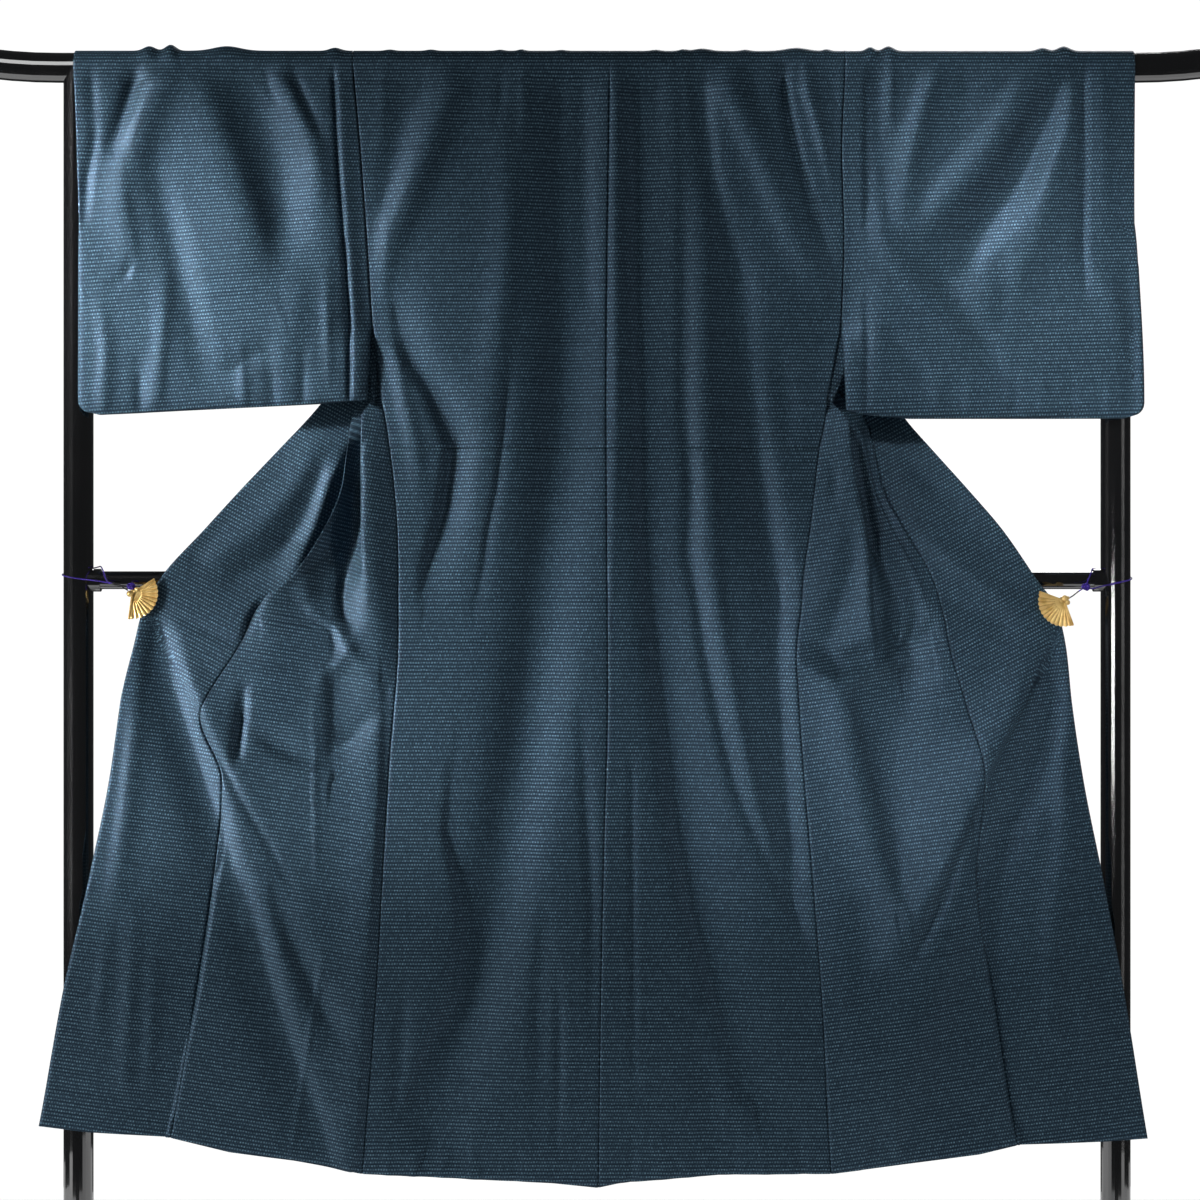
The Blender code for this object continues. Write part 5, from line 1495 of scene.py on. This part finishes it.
SLEEVE_SHAPES = {
    Hand.LEFT: SleeveShape(
        inner_low=Polyline(((1.346, -0.295), (1.236, -0.300))),
        outer_near=Profile(((1.700, -0.686), (1.565, -0.680), (1.454, -0.677), (1.200, -0.677))),
        outer_far=Profile(((1.700, -0.6570), (1.500, -0.6570), (1.480, -0.6660), (1.454, -0.6770),
                           (1.200, -0.6770))),
        bottom=Polyline(((-0.677, 1.222), (-0.664, 1.219), (-0.514, 1.226), (-0.367, 1.233),
                         (-0.300, 1.239))),
        notch=1.454,
        gathers=((-0.588, 0.010, 0.006), (-0.560, 0.009, 0.008), (-0.486, 0.024, 0.006),
                 (-0.344, 0.010, 0.004)),
        tilt=4.0,
        near_folds=LEFT_SLEEVE_NEAR,
        far_folds=LEFT_SLEEVE_FAR,
    ),
    Hand.RIGHT: SleeveShape(
        inner_low=Polyline(((1.346, 0.320), (1.226, 0.325))),
        outer_near=Profile(((1.700, 0.704), (1.471, 0.702), (1.411, 0.707), (1.239, 0.714),
                            (1.200, 0.714))),
        outer_far=Profile(((1.700, 0.6570), (1.510, 0.6570), (1.490, 0.6800), (1.471, 0.7020),
                           (1.411, 0.7070), (1.239, 0.7140), (1.200, 0.7140))),
        bottom=Polyline(((0.325, 1.226), (0.353, 1.219), (0.410, 1.214), (0.699, 1.214),
                         (0.714, 1.218))),
        notch=1.471,
        gathers=((0.359, 0.007, 0.005), (0.383, 0.009, 0.006), (0.585, 0.009, 0.004),
                 (0.613, 0.010, 0.006)),
        tilt=1.5,
        near_folds=RIGHT_SLEEVE_NEAR,
        far_folds=RIGHT_SLEEVE_FAR,
    ),
}
SLEEVE_NEAR = Profile(((1.660, -0.0213), (1.550, -0.0240), (1.450, -0.0270), (1.346, -0.0300),
                       (1.200, -0.0320)))
SLEEVE_FAR = Profile(((1.660, 0.0213), (1.565, 0.0190), (1.454, 0.0090), (1.346, -0.0080),
                      (1.290, -0.0165), (1.250, -0.0205), (1.200, -0.0215)))
SLEEVE_FAR_OUTER = Profile(((1.660, 0.0213), (1.600, 0.0100), (1.540, -0.0090), (1.505, -0.0225),
                            (1.454, -0.0250), (1.200, -0.0265)))
SLEEVE_LOW_FAR = -0.0215
SLEEVE_LOW_BLEND = 0.05


@dataclass
class Sleeve:
    """One sleeve: a bag over the rod, closed below the hand opening and the armhole."""

    hand: Hand
    columns: int = 118
    row_spacing: float = 0.0058
    over_rows: int = 14
    turn_start: float = 0.4
    corner: float = 0.016
    fold_fade: float = 0.018
    top: float = 1.660
    lifts: tuple = (0.0, 0.0008, 0.0022, 0.0045, 0.008, 0.012, 0.017, 0.023)
    even_rise: float = 0.030
    crowding: float = 0.055
    crowding_gain: float = 1.6
    lean_top: float = 1.62
    lean_over: float = 0.25
    lean_middle: float = 0.5

    @property
    def shape(self) -> SleeveShape:
        """The sleeve's own sizes."""
        return SLEEVE_SHAPES[self.hand]

    @property
    def front(self) -> Front:
        """The front that the sleeve is sewn to."""
        return FRONTS[self.hand]

    def inner(self, height: np.ndarray) -> np.ndarray:
        """Where the sleeve meets the body, and below the armhole its closed inner edge."""
        low, high = self.shape.inner_low(height), self.front.across_lines[SIDE_SEAM](height)
        return np.where(height < ARMHOLE_BOTTOM, low, high) + ARMHOLE_GAP * self.hand.value

    def outer(self, height: np.ndarray, far: bool) -> np.ndarray:
        """The hand edge of one layer, rounded off at its lowest corner."""
        line = self.shape.outer_far if far else self.shape.outer_near
        above = height - self.shape.bottom(line(height))
        left = np.clip(1 - above / self.corner, 0, 1)
        return line(height) - self.hand.value * self.corner * (1 - np.sqrt(1 - left * left))

    def layers(self, x: np.ndarray, z: np.ndarray) -> tuple:
        """The depths of the near and the far layer, before they close on each other."""
        near, far = SLEEVE_NEAR(z), SLEEVE_FAR(z)
        by_post = fade(1 - (POST_X - POST_RADIUS - POST_CLEAR - np.abs(x)) / POST_BLEND)
        far = far + (SLEEVE_FAR_OUTER(z) - far) * by_post
        by_seam = fade(1 - np.abs(x - self.inner(z)) / SLEEVE_EDGE_BLEND)
        open_near = near + (BACK_EDGE_DEPTH(z) - near) * by_seam
        open_far = far + (self.front.depth_lines[SIDE_SEAM](z) - far) * by_seam
        below = fade((ARMHOLE_BOTTOM - z) / SLEEVE_LOW_BLEND)
        shut_near = near + (BACK_EDGE_DEPTH(ARMHOLE_BOTTOM) - near) * (1 - below) * by_seam
        seam_far = self.front.depth_lines[SIDE_SEAM](ARMHOLE_BOTTOM)
        shut_far = far + (seam_far + (SLEEVE_LOW_FAR - seam_far) * below - far) * by_seam
        is_open = z >= ARMHOLE_BOTTOM
        return np.where(is_open, open_near, shut_near), np.where(is_open, open_far, shut_far)

    def place(self, share: np.ndarray, height: np.ndarray, rise: np.ndarray, far: bool) -> np.ndarray:
        """Points of one layer.

        Args:
            share: 0 at the body and 1 at the hand edge.
            height: each point's height, where it isn't one of the lowest rows.
            rise: how far a point of the lowest rows is above the bottom line, or nan.
            far: the far layer.

        Returns:
            An array with x, y and z on its last axis.
        """
        shape = self.shape
        low = np.isfinite(rise)
        x = self.inner(height) + (self.outer(height, far) - self.inner(height)) * share
        bottom = shape.bottom(x)
        z = np.where(low, bottom + np.where(low, rise, 0.0), height)
        inner, outer = self.inner(z), self.outer(z, far)
        x = inner + (outer - inner) * share
        near, deep = self.layers(x, z)
        middle, half = (near + deep) / 2, (deep - near) / 2
        close = np.ones(np.shape(x))
        for distance, shut in (
            (z - bottom, True),
            (np.abs(x - inner), z <= ARMHOLE_BOTTOM + TINY),
            (np.abs(outer - x), z <= shape.notch + TINY),
        ):
            part = np.sqrt(np.clip(1 - (1 - np.clip(distance / SLEEVE_ROUND, 0, 1)) ** 2, 0, 1))
            close = close * np.where(shut, part, 1.0)
        y = middle + np.where(far, half, -half) * close
        rod = fade((ROD_FADE_TOP - z) / self.fold_fade)
        folds = shape.far_folds if far else shape.near_folds
        y = y + folded(folds, x, z) * rod * close
        return np.stack([x, y, z], axis=-1)

    def build(self, silk: bpy.types.Material) -> bpy.types.Object:
        """Lays the sleeve and dresses it.

        Args:
            silk: the cloth's material.

        Returns:
            The piece.
        """
        shape, hand = self.shape, self.hand.value
        even = np.linspace(0, 1, self.columns)
        shares = even + self.crowding * np.sin(2 * math.pi * even) / -math.pi * self.crowding_gain
        shares = (shares - shares[0]) / (shares[-1] - shares[0])
        lifts = np.array(self.lifts)
        low = shape.bottom(shape.inner_low.values[0])
        start = float(low) + self.even_rise
        levels = np.concatenate([np.full(lifts.shape, low), centres(start, self.top, self.row_spacing)])
        rises = np.concatenate([lifts, np.full(len(levels) - len(lifts), np.nan)])
        share, level = np.meshgrid(shares, levels)
        rise = np.broadcast_to(rises[:, None], share.shape)
        near = self.place(share, level, rise, False)
        far = self.place(share, level, rise, True)[::-1]
        inner = float(self.inner(np.array(ROD_HEIGHT)))
        ends = [float(self.outer(np.array(ROD_HEIGHT), side)) for side in (False, True)]
        over, over_v = [], []
        for k in range(self.over_rows + 1):
            passed = k / self.over_rows
            turned = float(fade((passed - self.turn_start) / (1 - self.turn_start)))
            x = inner + (ends[0] + (ends[1] - ends[0]) * turned - inner) * shares
            away = math.sin(math.pi * passed) * gathered(x, shape.gathers)
            over.append(over_rod(x, np.full(x.shape, QUARTER * (2 * passed - 1)), away))
            over_v.append(np.full(x.shape, ROD_HEIGHT + 2 * QUARTER * passed))
        over = np.array(over)
        places = np.concatenate([near, over, far])
        top_v = ROD_HEIGHT + 2 * QUARTER
        v = np.concatenate([near[..., 2], np.array(over_v), top_v + ROD_HEIGHT - far[..., 2]])
        tilt = math.tan(math.radians(shape.tilt))
        u = places[..., 0]
        lean = fade((self.lean_top - places[..., 2]) / self.lean_over)
        v = v - (u - hand * self.lean_middle) * tilt * lean
        weave = np.stack([u, v], axis=-1)
        thing = cloth_piece(f"sleeve_{self.hand.word}", silk, places, weave)
        return thing


@dataclass
class TieCord:
    """A thin two-ply cord tied round a post over the rail, with its knot."""

    hand: Hand
    before: tuple
    low: float
    high: float
    after: tuple
    knot_place: tuple
    black_ends: tuple
    radius: float = 0.0009
    sides: int = 12
    spacing: float = 0.0006
    ply_turn: float = 0.0042
    off_post: float = 0.0006
    turn: tuple = (-100, 135)
    turn_points: int = 8
    knot_turns: tuple = (
        (0.0000, 0.0000, 76, 32, 0.0034), (0.0012, 0.0007, 82, -42, 0.0036),
        (-0.0018, 0.0005, 62, 78, 0.0030), (0.0024, -0.0007, 98, 12, 0.0028),
        (-0.0006, 0.0013, 24, 15, 0.0038), (0.0009, -0.0011, -28, 60, 0.0034),
    )
    knot_core: float = 0.0028
    knot_strand: float = 0.0010

    def route(self) -> list:
        """The cord's way: from the clip, round the post and back over the rail to its knot."""
        hand = self.hand.value
        ring = POST_RADIUS + self.radius + self.off_post
        points = list(self.before)
        for k in range(self.turn_points):
            share = k / (self.turn_points - 1)
            angle = math.radians(self.turn[0] + (self.turn[1] - self.turn[0]) * share)
            points.append((
                hand * (POST_X + ring * math.cos(angle)),
                ring * math.sin(angle),
                self.low + (self.high - self.low) * share,
            ))
        return points + list(self.after)

    def centreline(self) -> np.ndarray:
        """Even points along a round curve through the route."""
        points = np.array(self.route())
        at = np.linspace(0, len(points) - 1, (len(points) - 1) * 60 + 1)
        fine = np.stack([through(points[:, k], at) for k in range(3)], axis=-1)
        passed = np.concatenate([[0], np.cumsum(np.linalg.norm(np.diff(fine, axis=0), axis=1))])
        even = np.linspace(0, passed[-1], int(passed[-1] / self.spacing))
        return np.stack([np.interp(even, passed, fine[:, k]) for k in range(3)], axis=-1)

    def build(self, finish: bpy.types.Material, knot: bpy.types.Object) -> bpy.types.Object:
        """Twists the cord along its line and dresses it.

        Args:
            finish: the cord's material.
            knot: not used.

        Returns:
            The piece.
        """
        line = self.centreline()
        tangent = np.gradient(line, axis=0)
        tangent /= np.linalg.norm(tangent, axis=1, keepdims=True)
        up = np.array([0.0, 0.0, 1.0])
        side = np.cross(tangent, up)
        side /= np.linalg.norm(side, axis=1, keepdims=True)
        top = np.cross(side, tangent)
        angle = np.linspace(0, 2 * math.pi, self.sides, endpoint=False)
        passed = np.concatenate([[0], np.cumsum(np.linalg.norm(np.diff(line, axis=0), axis=1))])
        twist = 2 * math.pi * passed / self.ply_turn
        ply = np.abs(np.cos(angle[None] - twist[:, None] / 2))
        radius = self.radius * (0.74 + 0.26 * ply)
        rings = (
            line[:, None]
            + side[:, None] * (radius * np.cos(angle))[..., None]
            + top[:, None] * (radius * np.sin(angle))[..., None]
        )
        mesh = bpy.data.meshes.new(f"tie_cord_{self.hand.word}")
        count = len(line)
        verts = [*rings.reshape(-1, 3).tolist(), line[0].tolist(), line[-1].tolist()]
        faces = []
        for k in range(count - 1):
            for i in range(self.sides):
                j = (i + 1) % self.sides
                faces.append((k * self.sides + i, k * self.sides + j,
                              (k + 1) * self.sides + j, (k + 1) * self.sides + i))
        start, end = len(verts) - 2, len(verts) - 1
        for i in range(self.sides):
            j = (i + 1) % self.sides
            faces.append((start, j, i))
            faces.append((end, (count - 1) * self.sides + i, (count - 1) * self.sides + j))
        mesh.from_pydata(verts, [], faces)
        chart, dark_stretch_layer = mesh.uv_layers.new(name="Weave"), mesh.uv_layers.new(name="Dye")
        # the stretches next to the cord's ends that are coloured black
        black = (passed < self.black_ends[0]) | (passed > passed[-1] - self.black_ends[1])
        for loop in mesh.loops:
            ring, place = divmod(min(loop.vertex_index, count * self.sides - 1), self.sides)
            chart.data[loop.index].uv = (place / self.sides * 2 * math.pi * self.radius, passed[ring])
            dark_stretch_layer.data[loop.index].uv = (float(black[ring]), 0.0)
        thing = bpy.data.objects.new(mesh.name, mesh)
        bpy.context.scene.collection.objects.link(thing)
        only(thing)
        bpy.ops.object.mode_set(mode="EDIT")
        bpy.ops.mesh.select_all(action="SELECT")
        bpy.ops.mesh.normals_make_consistent(inside=False)
        bpy.ops.object.mode_set(mode="OBJECT")
        bpy.ops.object.shade_smooth()
        dressed(thing, finish, Slot.CORD, f"cord_{self.hand.word}")
        return thing

    def knot(self, finish: bpy.types.Material) -> bpy.types.Object:
        """A small tied knot: turns of the cord crossed over one another."""
        x, y, z = self.knot_place
        core = {"segments": 24, "ring_count": 14, "radius": self.knot_core}
        made = [added(bpy.ops.mesh.primitive_uv_sphere_add, location=self.knot_place, **core)]
        for off_x, off_z, lean, tilt, major in self.knot_turns:
            made.append(added(
                bpy.ops.mesh.primitive_torus_add,
                major_radius=major, minor_radius=self.knot_strand, major_segments=32, minor_segments=12,
                location=(x + off_x, y, z + off_z), rotation=(math.radians(lean), math.radians(tilt), 0),
            ))
        return joined(made, f"cord_knot_{self.hand.word}", finish, Slot.CORD)


def joined(
    things: list, name: str, material: bpy.types.Material, slot: Slot, *nodes: str
) -> bpy.types.Object:
    """Joins objects into one piece at the origin and dresses it.

    Args:
        things: the objects.
        name: the piece's name.
        material: its material.
        slot: the record's slot.
        *nodes: the nodes that it replaces.

    Returns:
        The piece.
    """
    bpy.ops.object.select_all(action="DESELECT")
    for thing in things:
        thing.select_set(True)
    bpy.context.view_layer.objects.active = things[0]
    bpy.ops.object.join()
    bpy.ops.object.transform_apply(location=True, rotation=True, scale=True)
    piece = bpy.context.object
    piece.name = piece.data.name = name
    bpy.ops.object.shade_smooth_by_angle(angle=math.radians(38))
    while piece.data.uv_layers:
        piece.data.uv_layers.remove(piece.data.uv_layers[0])
    return dressed(piece, material, slot, *nodes)


@dataclass
class FanClip:
    """A gilt clip shaped as an open folding fan, with its guards, its pivot and its jaw."""

    hand: Hand
    x: float
    z: float
    first: float
    last: float
    radius: float = 0.034
    hub: float = 0.0115
    ribs: int = 12
    around: int = 8
    rib_height: float = 0.0023
    groove_power: float = 1.6
    scallop: float = 0.0021
    cloth_gap: float = 0.0025
    jaw_length: float = 0.031
    jaw_width: float = 0.011
    jaw_thickness: float = 0.0012
    barrel_radius: float = 0.0045
    barrel_past: float = 0.0016
    guard: tuple = (0.0027, 0.0024)
    knobs: tuple = ()
    first_rings: tuple = (0.0030, 0.0060)
    past_hub: tuple = (0.0008, 0.0016, 0.004)
    rim: tuple = (0.0012, 0.0013)
    dome_power: float = 0.7
    pleat_start: float = 0.002
    growth: tuple = (0.45, 0.55)
    sunk: tuple = (0.0006, 0.0002)
    guard_ends: tuple = (0.0025, 0.0004)
    guard_ahead: float = 0.0012
    jaw_behind: float = 0.0022
    jaw_start: float = -0.002
    barrel_edge: float = 0.0007
    knob_ahead: float = 0.0008

    def fan_places(self) -> tuple:
        """The fan's grid: rings out from the pivot, and places round it."""
        front_y = CLOTH_AT_CLIP - self.cloth_gap - self.rib_height
        first, second = self.first_rings
        near, next_near, outer = (self.hub + past for past in self.past_hub)
        reaches = np.concatenate([
            [first], np.linspace(second, self.hub, 4), [near, next_near],
            np.linspace(outer, self.radius - self.rim[0], 8), [self.radius],
        ])
        turn = np.linspace(0, self.ribs, self.ribs * self.around + 1)
        across = turn - np.floor(np.minimum(turn, self.ribs - TINY))
        dome = np.sin(math.pi * across) ** self.dome_power
        angles = np.radians(self.first + (self.last - self.first) * turn / self.ribs)
        pleat = fade((reaches - self.hub) / self.pleat_start)[:, None]
        grow = (self.growth[0] + self.growth[1] * reaches / self.radius)[:, None]
        raised = (self.rib_height * dome[None] - self.sunk[0]) * pleat * grow
        y = front_y - raised - self.sunk[1] * (1 - pleat)
        tip = (reaches > self.radius - self.rim[1])[:, None]
        length = reaches[:, None] - np.where(tip, self.scallop * (1 - dome[None]), 0.0)
        x, z = self.x + length * np.cos(angles), self.z + length * np.sin(angles)
        return np.stack([x, np.broadcast_to(y, length.shape), z], axis=-1)

    def shade_grooves(self, mesh: bpy.types.Mesh) -> None:
        """Adds the fan's layer of painted shade: 1 in a groove, where shade would fall between the ribs, and
        0 on a rib.

        Args:
            mesh: the fan's mesh.
        """
        layer = mesh.uv_layers.new(name="Pleat")
        full = math.radians(self.last - self.first)
        for loop in mesh.loops:
            place = mesh.vertices[loop.vertex_index].co
            angle = math.atan2(place.z - self.z, place.x - self.x) - math.radians(self.first)
            turn = (angle % (math.tau if full > 0 else -math.tau)) / full * self.ribs
            reach = math.hypot(place.x - self.x, place.z - self.z)
            # painted shade: strongest in the middle of each groove, none on the ribs' crests
            groove_shade_share = (1 - math.sin(math.pi * (turn % 1.0))) ** self.groove_power
            layer.data[loop.index].uv = (groove_shade_share if reach > self.hub else 0.0, 0.0)

    def build(self, finish: bpy.types.Material) -> bpy.types.Object:
        """Makes the fan, its two guards, the pivot and the jaw behind the cloth.

        Args:
            finish: the clip's material.

        Returns:
            The piece.
        """
        places = self.fan_places()
        fan = cloth_sheet(f"fan_{self.hand.word}", places, places[..., [0, 2]])
        self.shade_grooves(fan.data)
        front_y = CLOTH_AT_CLIP - self.cloth_gap - self.rib_height
        made = [fan]
        start, past = self.guard_ends
        for angle in (self.first, self.last):
            made.append(self.bar(angle, start, self.radius + past, front_y - self.guard_ahead, *self.guard))
        rear_y = CLOTH_AT_CLIP + self.jaw_behind
        middle, jaw = (self.first + self.last) / 2, (self.jaw_width, self.jaw_thickness)
        made.append(self.bar(middle, self.jaw_start, self.jaw_length, rear_y, *jaw))
        barrel = added(
            bpy.ops.mesh.primitive_cylinder_add,
            vertices=36, radius=self.barrel_radius, depth=rear_y - front_y + self.barrel_past,
            location=(self.x, (front_y + rear_y) / 2, self.z), rotation=(math.radians(90), 0, 0),
        )
        applied(barrel, "BEVEL", width=self.barrel_edge, segments=3, limit_method="ANGLE")
        made.append(barrel)
        for off_x, off_z, radius in self.knobs:
            made.append(added(
                bpy.ops.mesh.primitive_uv_sphere_add, segments=28, ring_count=16, radius=radius,
                location=(self.x + off_x, front_y - self.knob_ahead, self.z + off_z),
            ))
        return joined(made, f"fan_clip_{self.hand.word}", finish, Slot.GILT, f"clip_{self.hand.word}")

    def bar(
        self, angle: float, start: float, end: float, y: float, width: float, depth: float
    ) -> bpy.types.Object:
        """A flat bar that runs out from the pivot, with its edges rounded.

        Args:
            angle: its direction in degrees.
            start: how far from the pivot it begins.
            end: how far from the pivot it ends.
            y: its middle's depth.
            width: its width across.
            depth: its thickness.

        Returns:
            The bar.
        """
        turn = math.radians(angle)
        middle = (start + end) / 2
        bar = added(
            bpy.ops.mesh.primitive_cube_add,
            size=1.0, scale=(end - start, depth, width), rotation=(0, -turn, 0),
            location=(self.x + middle * math.cos(turn), y, self.z + middle * math.sin(turn)),
        )
        bpy.ops.object.transform_apply(location=False, rotation=False, scale=True)
        applied(bar, "BEVEL", width=min(width, depth) * 0.3, segments=3)
        return bar


@dataclass
class Rack:
    """The lacquered rack, whose turned pieces keep their own solids."""

    nodes: tuple = ("top_rod", "mid_rail", "post_left", "post_right", "foot_left", "foot_right")

    def dress(self, lacquer: bpy.types.Material) -> None:
        """Gives each piece of the rack its finish."""
        for name in self.nodes:
            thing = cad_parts[name]
            thing.data.materials.clear()
            thing.data.materials.append(lacquer)
            log.info("rack: %s", name)


@dataclass
class Studio:
    """The camera, the floor and the lights."""

    distance: float = 3.75
    frame_width: float = 1.568
    centre: tuple = (0.0039, 0.977)
    garment_y: float = -0.025
    floor_size: tuple = (3.4, 1.8)
    sensor: float = 36.0
    far_end: float = 60.0
    white_strength: float = 1.05
    dim_tone: tuple = (0.92, 0.96, 1.0, 1)
    dim_strength: float = 0.035

    def camera(self) -> None:
        """Stands the camera square to the back, at the height of the picture's middle."""
        data = bpy.data.cameras.new("camera")
        data.sensor_width = self.sensor
        data.lens = self.sensor * self.distance / self.frame_width
        data.clip_end = self.far_end
        thing = bpy.data.objects.new("camera", data)
        thing.location = (self.centre[0], self.garment_y - self.distance, self.centre[1])
        thing.rotation_euler = (math.radians(90), 0, 0)
        bpy.context.scene.collection.objects.link(thing)
        bpy.context.scene.camera = thing

    def softbox(
        self, name: str, place: tuple, aim: tuple, size: tuple, power: float, spread: float = 180
    ) -> None:
        """Adds a softbox.

        Args:
            name: its name.
            place: its middle.
            aim: the point it faces.
            size: its width and height.
            power: watts.
            spread: the angle that its light is kept to, in degrees.
        """
        data = bpy.data.lights.new(name, "AREA")
        data.spread = math.radians(spread)
        data.shape = "RECTANGLE"
        data.size, data.size_y = size
        data.energy = power
        thing = bpy.data.objects.new(name, data)
        thing.location = place
        run = Vector(aim) - Vector(place)
        thing.rotation_euler = run.to_track_quat("-Z", "Y").to_euler()
        bpy.context.scene.collection.objects.link(thing)

    def floor(self) -> None:
        """Lays the floor."""
        thing = added(bpy.ops.mesh.primitive_plane_add, size=1.0)
        thing.name = "floor"
        thing.scale = (*self.floor_size, 1.0)
        bpy.ops.object.transform_apply(location=False, rotation=False, scale=True)
        thing.data.materials.append(PaleFloor().material("pale_floor"))

    def surroundings(self) -> None:
        """White as the camera sees it, and dim as the cloth and the lacquer see it."""
        world = bpy.data.worlds.new("surroundings")
        bpy.context.scene.world = world
        world.use_nodes = True
        nodes, links = world.node_tree.nodes, world.node_tree.links
        seen = nodes["Background"]
        seen.inputs["Color"].default_value = (1, 1, 1, 1)
        seen.inputs["Strength"].default_value = self.white_strength
        dim = nodes.new("ShaderNodeBackground")
        dim.inputs["Color"].default_value = self.dim_tone
        dim.inputs["Strength"].default_value = self.dim_strength
        path, mix = nodes.new("ShaderNodeLightPath"), nodes.new("ShaderNodeMixShader")
        links.new(path.outputs["Is Camera Ray"], mix.inputs["Fac"])
        links.new(dim.outputs[0], mix.inputs[1])
        links.new(seen.outputs[0], mix.inputs[2])
        links.new(mix.outputs[0], nodes["World Output"].inputs["Surface"])

    def lights(self) -> None:
        """Places the softboxes, the small lights on sleeves and fronts, and the far side's own."""
        self.softbox("softbox_left", (-2.7, -1.15, 1.15), (-0.2, 0, 1.0), (0.5, 2.6), 50.0)
        self.softbox("softbox_right", (2.4, -1.3, 1.1), (0.3, 0, 1.0), (0.25, 2.6), 10.0)
        self.softbox("key_light", (-1.2, -3.0, 2.9), (0, 0, 0.9), (1.1, 0.5), 5.0)
        self.softbox("sleeve_light_left", (-2.1, -0.9, 2.0), (-0.66, 0, 1.40), (0.4, 0.4), 1.65, 13)
        self.softbox("sleeve_light_right", (-0.5, -1.5, 2.6), (0.62, 0, 1.32), (0.4, 0.4), 0.82, 15)
        self.softbox("front_light_left", (-2.0, -0.9, 0.6), (-0.41, 0, 0.82), (0.4, 0.4), 0.66, 10)
        self.softbox("front_light_right", (-0.6, -1.9, 0.8), (0.40, 0, 0.80), (0.4, 0.4), 0.26, 11)
        self.softbox("far_side_light", (0.9, 2.4, 3.2), (0, 0, 0.9), (1.6, 1.0), 42.0)
        bpy.context.scene.view_settings.view_transform = "Standard"


CLIPS = {
    Hand.LEFT: FanClip(
        Hand.LEFT, -0.606, 0.986, 32, -97,
        knobs=((-0.0032, -0.0008, 0.0042), (0.0058, 0.0052, 0.0029), (0.0, 0.0, 0.0020)),
    ),
    Hand.RIGHT: FanClip(
        Hand.RIGHT, 0.609, 0.976, 160, 290,
        knobs=((0.0010, 0.0032, 0.0040), (0.0046, -0.0022, 0.0034), (-0.0026, -0.0006, 0.0022),
               (0.0050, 0.0036, 0.0024)),
    ),
}
CORDS = {
    Hand.LEFT: TieCord(
        Hand.LEFT,
        before=(
            (-0.6125, -0.0262, 0.9895), (-0.6175, -0.0258, 0.9922), (-0.6235, -0.0250, 0.9958),
            (-0.6310, -0.0240, 0.9972), (-0.6392, -0.0226, 0.9996), (-0.6550, -0.0222, 1.0022),
        ),
        low=1.0050, high=1.0185,
        after=(
            (-0.6580, 0.0100, 1.0205), (-0.6530, 0.0000, 1.0210), (-0.6490, -0.0105, 1.0178),
            (-0.6445, -0.0178, 1.0098), (-0.6400, -0.0236, 1.0012), (-0.6310, -0.0258, 0.9985),
            (-0.6200, -0.0268, 0.9960), (-0.6120, -0.0275, 0.9945),
        ),
        knot_place=(-0.6085, -0.0282, 0.9945), black_ends=(0.026, 0.022),
    ),
    Hand.RIGHT: TieCord(
        Hand.RIGHT,
        before=(
            (0.6150, -0.0262, 0.9785), (0.6221, -0.0258, 0.9828), (0.6300, -0.0250, 0.9888),
            (0.6385, -0.0240, 0.9930), (0.6470, -0.0226, 0.9918), (0.6580, -0.0222, 0.9945),
        ),
        low=0.9990, high=1.0156,
        after=(
            (0.6580, 0.0100, 1.0176), (0.6530, 0.0000, 1.0182), (0.6495, -0.0105, 1.0170),
            (0.6450, -0.0172, 1.0080), (0.6405, -0.0215, 0.9985), (0.6388, -0.0238, 0.9950),
        ),
        knot_place=(0.6385, -0.0240, 0.9940), black_ends=(0.0175, 0.0),
    ),
}


def main() -> None:
    """Builds the pieces in order and reports each one."""
    logging.basicConfig(level=logging.INFO, format="%(name)s: %(message)s")
    studio = Studio()
    studio.camera()
    silk = NavySilk().material("navy_silk")
    lacquer = BlackLacquer().material("black_lacquer")
    gilt = GiltMetal().material("gilt_metal")
    purple = PurpleCord().material("purple_cord")
    for cord in CORDS.values():
        log.info("made %s", cord.build(purple, cord.knot(purple)).name)
    for hand in Hand:
        log.info("made %s", Body(hand).build(silk).name)
        log.info("made %s", Okumi(hand).build(silk).name)
        log.info("made %s", Sleeve(hand).build(silk).name)
    log.info("made %s", Collar().build(silk).name)
    for clip in CLIPS.values():
        log.info("made %s", clip.build(gilt).name)
    Rack().dress(lacquer)
    studio.floor()
    studio.surroundings()
    studio.lights()


if __name__ == "__main__":
    main()
